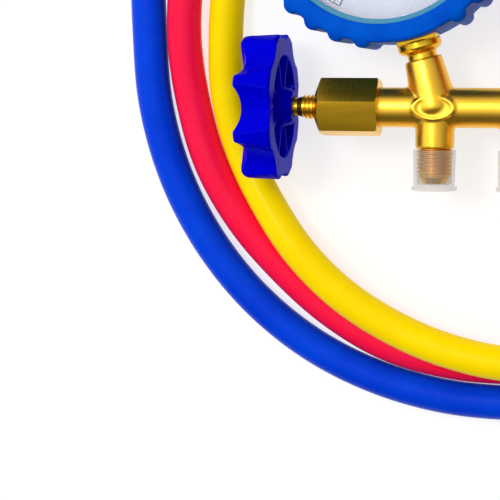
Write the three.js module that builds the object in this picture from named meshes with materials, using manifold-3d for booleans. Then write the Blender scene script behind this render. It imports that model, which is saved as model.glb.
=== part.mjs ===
// A service manifold gauge set that lies on its back: a brass manifold with a handwheel valve at each
// end, two gauges in rubber boots, capped hose ports, a hanging hook and three coiled charging hoses.
// Millimetres. +X runs along the bar from the low side to the high side, +Y towards the gauges, +Z up.
// The origin is on the floor, under the middle of the manifold and gauges.

import * as THREE from "three";
import { mergeVertices } from "three/addons/utils/BufferGeometryUtils.js";
import Module from "manifold-3d";

const wasm = await Module();
wasm.setup();

// Driving dimensions

const DEGREE = Math.PI / 180;
const fineRound = 32; // flats round a large turned piece
const plainRound = 22; // and round a small one
const seatGap = 0.3; // between two pieces that touch
const runningGap = 0.3; // round a piece that turns or slides

const bar = { radius: 6.3, halfLength: 46.7, endChamfer: 0.5, seatRadius: 4.4, seatDepth: 8.2 };
const port = {
  pitch: 26.6,
  neckRadius: 6.15,
  neckEnd: 12.9,
  threadRadius: 5.4,
  coneStart: 21.9,
  tipRadius: 3.6,
  tipEnd: 23.9,
  boreRadius: 2.4,
  boreDepth: 15,
};
const boss = { footRadius: 7.4, topRadius: 5.9, top: 15.8, boreDepth: 8, domeRadius: 4.6, domeDepth: 5.4, domeEnd: 6.2 };
const centreBoss = { radius: 5.8, top: 12.6, chamfer: 0.6, boreDepth: 6 };
const pad = { halfLength: 6.8, halfWidth: 3.9, top: 6.9 };

const bonnetCover = 2.5; // of the bar's end inside the bonnet
const bonnetLength = 20.3;
const bonnet = {
  acrossFlats: 17,
  inner: bar.halfLength - bonnetCover,
  outer: bar.halfLength - bonnetCover + bonnetLength,
  innerChamfer: 0.7,
  outerChamferLength: 1.9,
  faceRadius: 5.5,
  cornerAngle: 10.2,
};
const wheelGap = 10.6; // from the bonnet to the wheel
const wheelThickness = 12.3;
const wheel = {
  crestRadius: 23.9,
  lobes: 8,
  valleyRadius: 20.6,
  scoopRadius: 12,
  scoopTilt: 9,
  faceScoopRadius: 10.5,
  faceScoopDepth: 3.4,
  faceScoopTilt: 13,
  inner: bonnet.outer + wheelGap,
  outer: bonnet.outer + wheelGap + wheelThickness,
  edgeRound: 2.8,
  innerRound: 0.8,
  pocketShare: 0.55, // of the thickness
  rimWidth: 4.2,
  hubRadius: 6.4,
  hubProud: 3.1,
  hubEndRadius: 5.2,
  ribThickness: 1.5,
  screwRecessRadius: 5.6,
  screwRecessDepth: 2.2,
  crestAngle: 20.9,
};
const spindle = {
  threadRadius: 3.95,
  innerEnd: bar.halfLength + 3.3,
  tipLength: 5,
  seatTipRadius: 1.5,
  threadProud: 4.4,
  taperLength: 1.6,
  tailRadius: 2.9,
  tailBelowSeat: 1,
  screwHoleRadius: 1.6,
  screwHoleDepth: 7,
};
const threadEnd = bonnet.outer + spindle.threadProud;
const tailEnd = wheel.outer - wheel.screwRecessDepth - spindle.tailBelowSeat;
const hubEnd = wheel.inner - wheel.hubProud;
const wheelScrew = { headRadius: 4.1, headHeight: 1.7, shankRadius: 1.3, slotLength: 4.5, slotWidth: 0.9, slotDepth: 0.8 };

const stem = {
  tilt: 15,
  length: 62,
  threadRadius: 4.7,
  threadStart: 8.6,
  neckRadius: 4.6,
  collarStart: 18.4,
  collarLength: 3,
  collarRadius: 6.95,
  collarChamfer: 0.8,
  shankWidth: 12.4,
  insideCase: 4,
};
const gaugeCase = {
  radius: 34.6,
  wall: 2.2,
  rimWall: 0.7,
  back: -10.7,
  backWall: 1,
  ledge: 7.7,
  rim: 12.1,
};
const boot = {
  radius: 40,
  back: -13,
  backOpeningRadius: 24,
  front: 16.8,
  lipInnerRadius: 34.3,
  lipThickness: 1.3,
  backRound: 1.6,
  frontRound: 2.6,
  ribs: 27,
  ribGapHalfAngle: 22.5,
  ribRadius: 2.4,
  ribHeight: 1.9,
  ribEndMargin: 1.8,
};
const dial = { radius: 33.6, thickness: 0.8, holeRadius: 1.4 };
const lens = { radius: 34.4, thickness: 1.6 };
const bezel = { wall: 0.8, lipInnerRadius: 32.8, lipThickness: 0.9, skirt: 6.5 };
const pointer = {
  length: 24,
  tail: 9,
  rootHalfWidth: 1.1,
  tipHalfWidth: 0.25,
  thickness: 0.6,
  hubRadius: 3.2,
  hubHeight: 1.2,
  pinRadius: 0.9,
  pinDepth: 4,
  zeroAngle: 110,
};

const cap = {
  outerRadius: 6.75,
  taper: 0.25,
  wall: 1.05,
  floor: 1.9,
  flangeRadius: 7.25,
  flangeHeight: 1.3,
};
const hook = {
  wireRadius: 1.5,
  shankDepth: 5,
  collarRadius: 3.4,
  collarHeight: 1.6,
  neck: 2.2,
  loopRadius: 6.2,
  loopStart: -90,
  loopEnd: 150,
};

const hose = { radius: 5.85, sides: 8, steps: 48, centreX: -5.5, centreY: 14.85, straightEnd: 18 };
const ferrule = {
  insert: 14,
  wall: 1,
  shoulder: 4,
  chamfer: 1,
  neckRadius: 3.7,
  neckLength: 5,
  flareRadius: 4.9,
  flareLength: 1.6,
};
const swivelNut = { radius: 7.8, length: 15, chamfer: 0.8, mouthRadius: 5.6 };

// Each hose lies in a flat spiral. A row is the angle in degrees round the spiral's centre, the distance
// from it and the height of the hose's centreline above the floor. The yellow hose lies on the red one
// where they pass below the ports.
const routes = {
  blue: [
    [152, 130, 8], [164, 123.6, 6], [176, 119.6, 6], [188, 119.1, 6], [200, 118.9, 6], [212, 118.7, 6],
    [224, 118.5, 6], [236, 118, 6], [248, 117.1, 6], [260, 116.3, 6], [272, 115.9, 6], [284, 117.4, 6],
    [296, 121, 6], [308, 125.5, 6], [320, 129.5, 6], [332, 133.5, 6], [344, 142, 6], [356, 153, 6],
    [368, 160.5, 6], [380, 166, 6], [392, 170.5, 6], [404, 174.5, 6], [416, 177.5, 6], [428, 179.5, 6],
    [440, 180.5, 6], [452, 181, 6], [464, 180, 6], [476, 177, 6], [488, 171.5, 6], [500, 164, 8],
  ],
  red: [
    [80, 119.8, 8], [92, 118.6, 6], [104, 119, 6], [116, 120.4, 6], [128, 121, 6], [140, 118.8, 6],
    [152, 113.5, 6], [164, 109, 7.6], [176, 107.2, 7.4], [188, 106, 6], [200, 105.6, 6],
    [212, 104.5, 6], [224, 103.5, 6], [236, 104, 6], [248, 104.7, 6], [260, 104, 6], [272, 103.5, 6],
    [284, 104.9, 6], [296, 108.2, 6], [308, 112, 6], [320, 115.7, 6], [332, 119.5, 6], [344, 128.3, 6],
    [356, 139, 6], [368, 146.5, 6], [380, 152, 6], [392, 156.5, 6], [404, 160.5, 6], [416, 163.4, 6],
    [428, 165, 6], [440, 165.6, 6], [452, 164.5, 6], [464, 160.5, 6], [474, 154.5, 8],
  ],
  yellow: [
    [12, 105, 8], [22, 108.3, 6], [33, 113.6, 6], [44, 116.3, 6], [56, 113, 6], [68, 108.3, 6],
    [80, 105.6, 6], [92, 105.5, 6], [104, 106.3, 6], [116, 107.8, 6], [128, 108.4, 6], [140, 106.1, 6],
    [152, 100.3, 6], [164, 94.9, 6], [176, 93.2, 6], [188, 93.6, 6], [200, 93.5, 6.6], [212, 92.8, 10.2],
    [224, 93.6, 13.1], [236, 94.8, 14.4], [248, 96, 15.1], [260, 97.5, 16.5], [272, 99.2, 17.7],
    [284, 99.6, 17], [296, 98.8, 14], [308, 99.2, 9.4], [320, 101.5, 6.6], [332, 105.3, 6],
    [344, 114.3, 6], [356, 125, 6], [368, 132.5, 6], [380, 137.7, 6], [392, 142, 6], [404, 146, 6],
    [416, 148.6, 6], [428, 149.2, 6], [440, 146.5, 6], [450, 141.5, 8],
  ],
};

// Materials

const finish = (color, roughness, metalness, opacity = 1) =>
  new THREE.MeshStandardMaterial({ color, roughness, metalness, opacity, transparent: opacity < 1 });
const materials = {
  brass: finish(0xc9962e, 0.3, 1),
  steel: finish(0xb9bcc0, 0.3, 1),
  caseMetal: finish(0x3a3c40, 0.5, 0.6),
  bluePlastic: finish(0x0a12b8, 0.25, 0),
  redPlastic: finish(0xb81018, 0.25, 0),
  blueRubber: finish(0x0a4fd0, 0.5, 0),
  redRubber: finish(0xd01c2c, 0.5, 0),
  dialFace: finish(0xf0f0f4, 0.6, 0),
  pointerRed: finish(0xc81e1e, 0.4, 0),
  clearPlastic: finish(0xd8c8bc, 0.2, 0, 0.4),
  lensGlass: finish(0xffffff, 0.05, 0, 0.2),
  blueHose: finish(0x0a48d8, 0.3, 0),
  redHose: finish(0xf21c38, 0.3, 0),
  yellowHose: finish(0xf8c800, 0.3, 0),
};

// Solids

/** A closed geometry as a solid that can be joined and cut. */
function solid(geometry) {
  const bare = geometry.clone();
  bare.deleteAttribute("normal");
  bare.deleteAttribute("uv");
  const merged = mergeVertices(bare, 1e-4);
  const mesh = new wasm.Mesh({
    numProp: 3,
    vertProperties: merged.attributes.position.array,
    triVerts: new Uint32Array(merged.index.array),
  });
  return new wasm.Manifold(mesh);
}

/** A solid as a geometry again. */
function geometryOf(body) {
  const mesh = body.getMesh();
  const geometry = new THREE.BufferGeometry();
  geometry.setAttribute("position", new THREE.BufferAttribute(new Float32Array(mesh.vertProperties), 3));
  geometry.setIndex(new THREE.BufferAttribute(new Uint32Array(mesh.triVerts), 1));
  geometry.computeVertexNormals();
  return geometry;
}

const join = (...geometries) => geometryOf(geometries.map(solid).reduce((sum, next) => sum.add(next)));
const common = (first, second) => geometryOf(solid(first).intersect(solid(second)));
const cut = (base, ...tools) =>
  geometryOf(tools.map(solid).reduce((left, tool) => left.subtract(tool), solid(base)));

/** A profile of [radius, height] rows turned round Y. A profile that isn't on the axis closes on itself. */
function turned(profile, segments = plainRound) {
  const points = profile.map(([radius, height]) => new THREE.Vector2(radius, height));
  if (profile[0][0] > 0) points.push(points[0].clone());
  return new THREE.LatheGeometry(points, segments);
}

/** A plain round rod along Y. */
const rod = (radius, low, high, segments = plainRound) =>
  turned([[0, low], [radius, low], [radius, high], [0, high]], segments);

const alongX = (geometry) => geometry.rotateZ(-Math.PI / 2);
const alongMinusY = (geometry) => geometry.rotateZ(Math.PI);
const alongZ = (geometry) => geometry.rotateX(Math.PI / 2);

/** A named mesh. */
function piece(name, geometry, material) {
  const mesh = new THREE.Mesh(geometry, material);
  mesh.name = name;
  return mesh;
}

// The brass body

const socketBoreRadius = stem.threadRadius + seatGap;

/** One lower port: a neck, a thread and a flare cone, pointing down the page. */
function portNeck(x) {
  const neck = turned([
    [0, 0],
    [port.neckRadius, 0],
    [port.neckRadius, port.neckEnd],
    [port.threadRadius, port.neckEnd],
    [port.threadRadius, port.coneStart],
    [port.tipRadius, port.tipEnd],
    [0, port.tipEnd],
  ]);
  return alongMinusY(neck).translate(x, 0, 0);
}

/** The raised boss that a gauge screws into, tilted outwards, with its foot domed into the bar. */
function gaugeBoss(side) {
  const cone = turned([
    [0, -boss.domeEnd],
    [boss.domeRadius, -boss.domeDepth],
    [boss.footRadius, 0],
    [boss.topRadius, boss.top],
    [0, boss.top],
  ]);
  return cone.rotateZ(-side * stem.tilt * DEGREE).translate(side * port.pitch, 0, 0);
}

/** The oval pad on the front of the bar at an outer port. */
function ovalPad(side) {
  const outline = new THREE.Shape().absellipse(0, 0, pad.halfLength, pad.halfWidth, 0, 2 * Math.PI);
  const block = new THREE.ExtrudeGeometry(outline, { depth: pad.top, bevelEnabled: false, curveSegments: 9 });
  return block.translate(side * port.pitch, 0, 0);
}

function manifoldBody() {
  const barEnd = bar.radius - bar.endChamfer;
  const barSolid = turned([
    [0, -bar.halfLength],
    [barEnd, -bar.halfLength],
    [bar.radius, -bar.halfLength + bar.endChamfer],
    [bar.radius, bar.halfLength - bar.endChamfer],
    [barEnd, bar.halfLength],
    [0, bar.halfLength],
  ]);
  const centre = turned([
    [0, 0],
    [centreBoss.radius, 0],
    [centreBoss.radius, centreBoss.top - centreBoss.chamfer],
    [centreBoss.radius - centreBoss.chamfer, centreBoss.top],
    [0, centreBoss.top],
  ]);
  const forging = join(
    alongX(barSolid),
    centre,
    ...[-1, 0, 1].map((place) => portNeck(place * port.pitch)),
    ...[-1, 1].flatMap((side) => [gaugeBoss(side), ovalPad(side)]),
  );
  const portBores = [-1, 0, 1].map((place) =>
    rod(port.boreRadius, -port.tipEnd - 1, port.boreDepth - port.tipEnd, 16).translate(place * port.pitch, 0, 0),
  );
  const socketBores = [-1, 1].map((side) =>
    rod(socketBoreRadius, boss.top - boss.boreDepth, boss.top + 1)
      .rotateZ(-side * stem.tilt * DEGREE)
      .translate(side * port.pitch, 0, 0),
  );
  const seatBores = [-1, 1].map((side) =>
    alongX(rod(bar.seatRadius, bar.halfLength - bar.seatDepth, bar.halfLength + 1)).scale(side, 1, side),
  );
  const hookBore = rod(hook.wireRadius + runningGap, centreBoss.top - centreBoss.boreDepth, centreBoss.top + 1, 16);
  return cut(forging, ...portBores, ...socketBores, ...seatBores, hookBore);
}

// The valve at one end, built along +X from the middle of the bar

function bonnetNut() {
  const cornerRadius = bonnet.acrossFlats / Math.sqrt(3);
  const length = bonnet.outer - bonnet.inner;
  const hexagon = new THREE.CylinderGeometry(cornerRadius, cornerRadius, length, 6)
    .rotateY(bonnet.cornerAngle * DEGREE)
    .translate(0, bonnet.inner + length / 2, 0);
  const envelope = turned([
    [0, bonnet.inner],
    [cornerRadius - bonnet.innerChamfer, bonnet.inner],
    [cornerRadius, bonnet.inner + bonnet.innerChamfer / 2],
    [cornerRadius, bonnet.outer - bonnet.outerChamferLength],
    [bonnet.faceRadius, bonnet.outer],
    [0, bonnet.outer],
  ]);
  const barSocket = rod(bar.radius + seatGap, bonnet.inner - 1, bar.halfLength + seatGap);
  const bore = rod(spindle.threadRadius + runningGap, bonnet.inner, bonnet.outer + 1);
  return alongX(cut(common(hexagon, envelope), barSocket, bore));
}

function valveSpindle() {
  const stick = turned([
    [0, spindle.innerEnd - spindle.tipLength],
    [spindle.seatTipRadius, spindle.innerEnd - spindle.tipLength],
    [spindle.threadRadius, spindle.innerEnd],
    [spindle.threadRadius, threadEnd],
    [spindle.tailRadius, threadEnd + spindle.taperLength],
    [spindle.tailRadius, tailEnd],
    [0, tailEnd],
  ]);
  const hole = rod(spindle.screwHoleRadius, tailEnd - spindle.screwHoleDepth, tailEnd + 1, 12);
  return alongX(cut(stick, hole));
}

/** A tool that scoops one finger valley out of the rim. It leans, so the valley is deeper outboard. */
function fingerScoop(angle) {
  const tool = new THREE.CylinderGeometry(wheel.scoopRadius, wheel.scoopRadius, 4 * wheelThickness, 30);
  return tool
    .rotateX(-wheel.scoopTilt * DEGREE)
    .translate(0, (wheel.inner + wheel.outer) / 2, wheel.valleyRadius + wheel.scoopRadius)
    .rotateY(angle);
}

/** A tool that runs the valley on over the outer face, and dies out towards the hub. */
function faceScoop(angle) {
  const { faceScoopRadius: radius, faceScoopDepth: depth } = wheel;
  return new THREE.CylinderGeometry(radius, radius, 2 * wheel.crestRadius, 26)
    .rotateX(Math.PI / 2 + wheel.faceScoopTilt * DEGREE)
    .translate(0, wheel.outer + radius - depth, wheel.crestRadius)
    .rotateY(angle);
}

function handwheel() {
  const pocketDepth = wheel.pocketShare * wheelThickness;
  const pocketFloor = wheel.inner + pocketDepth;
  const rimInner = wheel.valleyRadius - wheel.rimWidth;
  const edgeStep = (1 - Math.SQRT1_2) * wheel.edgeRound;
  const disc = turned([
    [0, hubEnd],
    [wheel.hubEndRadius, hubEnd],
    [wheel.hubRadius, wheel.inner],
    [wheel.hubRadius, pocketFloor],
    [rimInner, pocketFloor],
    [rimInner, wheel.inner],
    [wheel.crestRadius - wheel.innerRound, wheel.inner],
    [wheel.crestRadius, wheel.inner + wheel.innerRound],
    [wheel.crestRadius, wheel.outer - wheel.edgeRound],
    [wheel.crestRadius - edgeStep, wheel.outer - edgeStep],
    [wheel.crestRadius - wheel.edgeRound, wheel.outer],
    [0, wheel.outer],
  ], 40);
  const lobeAngle = (2 * Math.PI) / wheel.lobes;
  const scoops = Array.from({ length: wheel.lobes }, (_, lobe) => (lobe + 0.5) * lobeAngle)
    .flatMap((angle) => [fingerScoop(angle), faceScoop(angle)]);
  const ribStart = wheel.hubRadius - wheel.ribThickness;
  const ribLength = rimInner + wheel.ribThickness - ribStart;
  const ribs = Array.from({ length: wheel.lobes }, (_, lobe) =>
    new THREE.BoxGeometry(wheel.ribThickness, pocketDepth, ribLength)
      .translate(0, wheel.inner + pocketDepth / 2 + seatGap, ribStart + ribLength / 2)
      .rotateY(lobe * lobeAngle),
  );
  const bore = rod(spindle.tailRadius + runningGap, hubEnd - 1, wheel.outer + 1);
  const recess = rod(wheel.screwRecessRadius, wheel.outer - wheel.screwRecessDepth, wheel.outer + 1);
  return alongX(cut(join(cut(disc, ...scoops), ...ribs), bore, recess));
}

function holdingScrew() {
  const seat = wheel.outer - wheel.screwRecessDepth + seatGap;
  const top = seat + wheelScrew.headHeight;
  const shape = turned([
    [0, tailEnd - spindle.screwHoleDepth + seatGap],
    [wheelScrew.shankRadius, tailEnd - spindle.screwHoleDepth + seatGap],
    [wheelScrew.shankRadius, seat],
    [wheelScrew.headRadius, seat],
    [wheelScrew.headRadius, top - wheelScrew.headHeight / 2],
    [wheelScrew.headRadius / 2, top],
    [0, top],
  ], 16);
  const slots = [0, 90].map((turn) =>
    new THREE.BoxGeometry(wheelScrew.slotLength, 2 * wheelScrew.slotDepth, wheelScrew.slotWidth)
      .rotateY(turn * DEGREE)
      .translate(0, top, 0),
  );
  return alongX(cut(shape, ...slots));
}

// A gauge, built with its stem down the page and its dial's centre at the origin

function gaugeSocket() {
  const collarEnd = stem.collarStart + stem.collarLength;
  const turnedPart = turned([
    [0, stem.threadStart],
    [stem.threadRadius, stem.threadStart],
    [stem.threadRadius, boss.top + seatGap],
    [stem.neckRadius, boss.top + seatGap],
    [stem.neckRadius, stem.collarStart - stem.collarChamfer],
    [stem.collarRadius - stem.collarChamfer, stem.collarStart],
    [stem.collarRadius, stem.collarStart + stem.collarChamfer],
    [stem.collarRadius, collarEnd],
    [0, collarEnd],
  ]);
  const shankTop = stem.length - gaugeCase.radius + stem.insideCase;
  const shankLength = shankTop - collarEnd + 0.5;
  const shank = new THREE.BoxGeometry(stem.shankWidth, shankLength, stem.shankWidth);
  shank.translate(0, shankTop - shankLength / 2, 0);
  return join(turnedPart, shank).translate(0, -stem.length, 0);
}

/** The square passage that the stem's shank goes through in the case and the boot. */
function shankPassage(outerRadius) {
  const width = stem.shankWidth + 2 * seatGap;
  const length = outerRadius - gaugeCase.radius + stem.insideCase + 6;
  return new THREE.BoxGeometry(width, length, width).translate(0, -outerRadius - 2 + length / 2, 0);
}

function gaugeCup() {
  const innerRadius = gaugeCase.radius - gaugeCase.wall;
  const rimInner = gaugeCase.radius - gaugeCase.rimWall;
  const cup = turned([
    [0, gaugeCase.back],
    [gaugeCase.radius, gaugeCase.back],
    [gaugeCase.radius, gaugeCase.rim],
    [rimInner, gaugeCase.rim],
    [rimInner, gaugeCase.ledge],
    [innerRadius, gaugeCase.ledge],
    [innerRadius, gaugeCase.back + gaugeCase.backWall],
    [0, gaugeCase.back + gaugeCase.backWall],
  ], fineRound);
  return cut(alongZ(cup), shankPassage(gaugeCase.radius));
}

const lensBottom = gaugeCase.rim + seatGap;
const bezelLip = lensBottom + lens.thickness + seatGap;
const bezelInner = gaugeCase.radius + seatGap;
const bezelOuter = bezelInner + bezel.wall;
const dialBottom = gaugeCase.ledge + seatGap;
const dialTop = dialBottom + dial.thickness;

function bezelRing() {
  return alongZ(turned([
    [bezelInner, bezelLip - bezel.skirt],
    [bezelOuter, bezelLip - bezel.skirt],
    [bezelOuter, bezelLip + bezel.lipThickness],
    [bezel.lipInnerRadius, bezelLip + bezel.lipThickness],
    [bezel.lipInnerRadius, bezelLip],
    [bezelInner, bezelLip],
  ], fineRound));
}

function rubberBoot() {
  const widestInner = bezelOuter + seatGap;
  const narrowInner = gaugeCase.radius + seatGap;
  const step = bezelLip - bezel.skirt - seatGap;
  const lipBottom = boot.front - boot.lipThickness;
  const wall = turned([
    [boot.backOpeningRadius, boot.back],
    [boot.radius - boot.backRound, boot.back],
    [boot.radius, boot.back + boot.backRound],
    [boot.radius, boot.front - boot.frontRound],
    [boot.radius - boot.frontRound, boot.front],
    [boot.lipInnerRadius, boot.front],
    [boot.lipInnerRadius, lipBottom],
    [widestInner, lipBottom],
    [widestInner, step],
    [narrowInner, step],
    [narrowInner, gaugeCase.back - seatGap],
    [boot.backOpeningRadius, gaugeCase.back - seatGap],
  ], 40);
  const ribStep = (360 - 2 * boot.ribGapHalfAngle) / (boot.ribs - 1);
  const ribs = Array.from({ length: boot.ribs }, (_, index) => {
    const angle = (boot.ribGapHalfAngle + index * ribStep) * DEGREE;
    const rib = rod(boot.ribRadius, boot.back + boot.ribEndMargin, boot.front - boot.ribEndMargin, 6);
    return rib.translate(0, 0, boot.radius + boot.ribHeight - boot.ribRadius).rotateY(angle);
  });
  return cut(alongZ(join(wall, ...ribs)), shankPassage(boot.radius + boot.ribHeight));
}

function dialPlate() {
  return alongZ(turned([
    [dial.holeRadius, dialBottom],
    [dial.radius, dialBottom],
    [dial.radius, dialTop],
    [dial.holeRadius, dialTop],
  ], fineRound));
}

function lensDisc() {
  return alongZ(rod(lens.radius, lensBottom, lensBottom + lens.thickness, fineRound));
}

/** The pointer on its arbor, turned anticlockwise from the top to its zero. */
function pointerNeedle() {
  const hubBottom = dialTop + seatGap;
  const hub = alongZ(turned([
    [0, dialTop - pointer.pinDepth],
    [pointer.pinRadius, dialTop - pointer.pinDepth],
    [pointer.pinRadius, hubBottom],
    [pointer.hubRadius, hubBottom],
    [pointer.hubRadius, hubBottom + pointer.hubHeight],
    [0, hubBottom + pointer.hubHeight],
  ], 16));
  const outline = new THREE.Shape([
    new THREE.Vector2(-pointer.rootHalfWidth, -pointer.tail),
    new THREE.Vector2(pointer.rootHalfWidth, -pointer.tail),
    new THREE.Vector2(pointer.rootHalfWidth, 0),
    new THREE.Vector2(pointer.tipHalfWidth, pointer.length),
    new THREE.Vector2(-pointer.tipHalfWidth, pointer.length),
    new THREE.Vector2(-pointer.rootHalfWidth, 0),
  ]);
  const blade = new THREE.ExtrudeGeometry(outline, { depth: pointer.thickness, bevelEnabled: false });
  blade.translate(0, 0, hubBottom + (pointer.hubHeight - pointer.thickness) / 2);
  return join(hub, blade).rotateZ(pointer.zeroAngle * DEGREE);
}

// Caps and hook

/** A push-on cap with its mouth at the port's neck and its flange at the closed end. */
function portCap() {
  const innerRadius = cap.outerRadius - cap.wall;
  const mouth = port.neckEnd + seatGap;
  const innerFloor = port.tipEnd + seatGap;
  const end = innerFloor + cap.floor;
  return alongMinusY(turned([
    [0, innerFloor],
    [innerRadius - cap.taper, innerFloor],
    [innerRadius, mouth],
    [cap.outerRadius, mouth],
    [cap.outerRadius - cap.taper, end - cap.flangeHeight],
    [cap.flangeRadius, end - cap.flangeHeight],
    [cap.flangeRadius, end],
    [0, end],
  ]));
}

function hangingHook() {
  const collarBottom = centreBoss.top + seatGap;
  const collarTop = collarBottom + hook.collarHeight;
  const post = turned([
    [0, centreBoss.top - hook.shankDepth],
    [hook.wireRadius, centreBoss.top - hook.shankDepth],
    [hook.wireRadius, collarBottom],
    [hook.collarRadius, collarBottom],
    [hook.collarRadius, collarTop],
    [hook.wireRadius, collarTop],
    [hook.wireRadius, collarTop + hook.neck],
    [0, collarTop + hook.neck],
  ], 12);
  const centreY = collarTop + hook.neck + hook.loopRadius - hook.wireRadius / 2;
  const arc = Array.from({ length: 17 }, (_, index) => {
    const angle = (hook.loopStart + ((hook.loopEnd - hook.loopStart) * index) / 16) * DEGREE;
    return new THREE.Vector3(Math.cos(angle), Math.sin(angle), 0).multiplyScalar(hook.loopRadius);
  });
  const path = new THREE.CatmullRomCurve3(arc);
  const section = new THREE.Shape().absarc(0, 0, hook.wireRadius, 0, 2 * Math.PI);
  const wire = new THREE.ExtrudeGeometry(section, { steps: 16, extrudePath: path, curveSegments: 4 });
  return join(post, wire.translate(0, centreY, 0));
}

// Hoses and their ends

/** The straight run past an end of the route, nearest point first, away from its neighbour. */
function straightRun(end, neighbour) {
  const outwards = end.clone().sub(neighbour).setZ(0).normalize();
  return [0.5, 1].map((share) => end.clone().addScaledVector(outwards, share * hose.straightEnd));
}

/** The hose's centreline, in the frame whose origin is on the floor under the middle of the bar. */
function hosePath(route) {
  const spiral = route.map(([degrees, radius, height]) => {
    const angle = degrees * DEGREE;
    return new THREE.Vector3(
      hose.centreX + radius * Math.cos(angle),
      hose.centreY + radius * Math.sin(angle),
      height,
    );
  });
  const start = straightRun(spiral[0], spiral[1]).reverse();
  const finish = straightRun(spiral.at(-1), spiral.at(-2));
  return new THREE.CatmullRomCurve3([...start, ...spiral, ...finish], false, "centripetal");
}

function hoseTube(path) {
  const corners = Array.from({ length: hose.sides }, (_, side) => {
    const angle = (2 * Math.PI * side) / hose.sides;
    return new THREE.Vector2(hose.radius * Math.cos(angle), hose.radius * Math.sin(angle));
  });
  return new THREE.ExtrudeGeometry(new THREE.Shape(corners), { steps: hose.steps, extrudePath: path });
}

const ferruleInner = hose.radius + seatGap;

/** The crimped ferrule and its barb, from the hose's cut end towards +Y. */
function hoseFerrule() {
  const outer = ferruleInner + ferrule.wall;
  const neckEnd = ferrule.shoulder + ferrule.neckLength;
  return turned([
    [0, seatGap],
    [ferruleInner, seatGap],
    [ferruleInner, -ferrule.insert],
    [outer, -ferrule.insert],
    [outer, ferrule.shoulder - ferrule.chamfer],
    [outer - ferrule.chamfer, ferrule.shoulder],
    [ferrule.neckRadius, ferrule.shoulder],
    [ferrule.neckRadius, neckEnd],
    [ferrule.flareRadius, neckEnd + ferrule.flareLength / 2],
    [ferrule.flareRadius - ferrule.chamfer, neckEnd + ferrule.flareLength],
    [0, neckEnd + ferrule.flareLength],
  ], 12);
}

/** The swivel nut that turns behind the flare of the barb. */
function hoseNut() {
  const back = ferrule.shoulder + seatGap;
  const front = back + swivelNut.length;
  const floor = ferrule.shoulder + ferrule.neckLength - seatGap;
  const bore = ferrule.neckRadius + runningGap;
  return turned([
    [bore, back],
    [swivelNut.radius - swivelNut.chamfer, back],
    [swivelNut.radius, back + swivelNut.chamfer],
    [swivelNut.radius, front - swivelNut.chamfer],
    [swivelNut.radius - swivelNut.chamfer, front],
    [swivelNut.mouthRadius, front],
    [swivelNut.mouthRadius, floor],
    [bore, floor],
  ], 12);
}

// Assembly

/** A valve with its handwheel at one end of the bar. */
function valveGroup(side, label, wheelMaterial) {
  const group = new THREE.Group();
  group.add(
    piece(`bonnet_${label}`, bonnetNut(), materials.brass),
    piece(`spindle_${label}`, valveSpindle(), materials.brass),
  );
  const turning = new THREE.Group();
  turning.rotation.x = -side * wheel.crestAngle * DEGREE;
  turning.add(
    piece(`handwheel_${label}`, handwheel(), wheelMaterial),
    piece(`wheel_screw_${label}`, holdingScrew(), materials.steel),
  );
  group.add(turning);
  group.rotation.z = side < 0 ? Math.PI : 0;
  return group;
}

/** A gauge on its tilted stem. */
function gaugeGroup(side, label, rubber) {
  const gauge = new THREE.Group();
  gauge.position.y = stem.length;
  gauge.add(
    piece(`gauge_socket_${label}`, gaugeSocket(), materials.brass),
    piece(`gauge_case_${label}`, gaugeCup(), materials.caseMetal),
    piece(`gauge_boot_${label}`, rubberBoot(), rubber),
    piece(`gauge_bezel_${label}`, bezelRing(), materials.steel),
    piece(`gauge_dial_${label}`, dialPlate(), materials.dialFace),
    piece(`gauge_pointer_${label}`, pointerNeedle(), materials.pointerRed),
    piece(`gauge_lens_${label}`, lensDisc(), materials.lensGlass),
  );
  const group = new THREE.Group();
  group.position.x = side * port.pitch;
  group.rotation.z = -side * stem.tilt * DEGREE;
  group.add(gauge);
  return group;
}

/** A hose with a ferrule and a swivel nut at each end. */
function hoseGroup(colour, material) {
  const group = new THREE.Group();
  const path = hosePath(routes[colour]);
  group.add(piece(`hose_${colour}`, hoseTube(path), material));
  [["a", 0, -1], ["b", 1, 1]].forEach(([end, along, sense]) => {
    const fitting = new THREE.Group();
    fitting.position.copy(path.getPoint(along));
    const outwards = path.getTangent(along).multiplyScalar(sense);
    fitting.quaternion.setFromUnitVectors(new THREE.Vector3(0, 1, 0), outwards);
    fitting.add(
      piece(`ferrule_${colour}_${end}`, hoseFerrule(), materials.brass),
      piece(`nut_${colour}_${end}`, hoseNut(), materials.brass),
    );
    group.add(fitting);
  });
  return group;
}

/** The lowest point of a group when the whole set is pitched about the bar. */
function lowestPoint(group, pitch) {
  let lowest = Infinity;
  const corner = new THREE.Vector3();
  group.updateMatrixWorld(true);
  group.traverse((mesh) => {
    if (!mesh.isMesh) return;
    const position = mesh.geometry.getAttribute("position");
    for (let index = 0; index < position.count; index += 1) {
      corner.fromBufferAttribute(position, index).applyMatrix4(mesh.matrixWorld);
      lowest = Math.min(lowest, corner.z * Math.cos(pitch) + corner.y * Math.sin(pitch));
    }
  });
  return lowest;
}

/** The pitch at which the wheels and the backs of the boots touch the floor together. */
function restingPitch(valves, gauges) {
  let [steep, level] = [-20 * DEGREE, 0];
  for (let round = 0; round < 24; round += 1) {
    const middle = (steep + level) / 2;
    if (lowestPoint(gauges, middle) < lowestPoint(valves, middle)) steep = middle;
    else level = middle;
  }
  return (steep + level) / 2;
}

const valves = new THREE.Group();
valves.add(valveGroup(-1, "low", materials.bluePlastic), valveGroup(1, "high", materials.redPlastic));
const gauges = new THREE.Group();
gauges.add(gaugeGroup(-1, "low", materials.blueRubber), gaugeGroup(1, "high", materials.redRubber));
const restPitch = restingPitch(valves, gauges);

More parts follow.
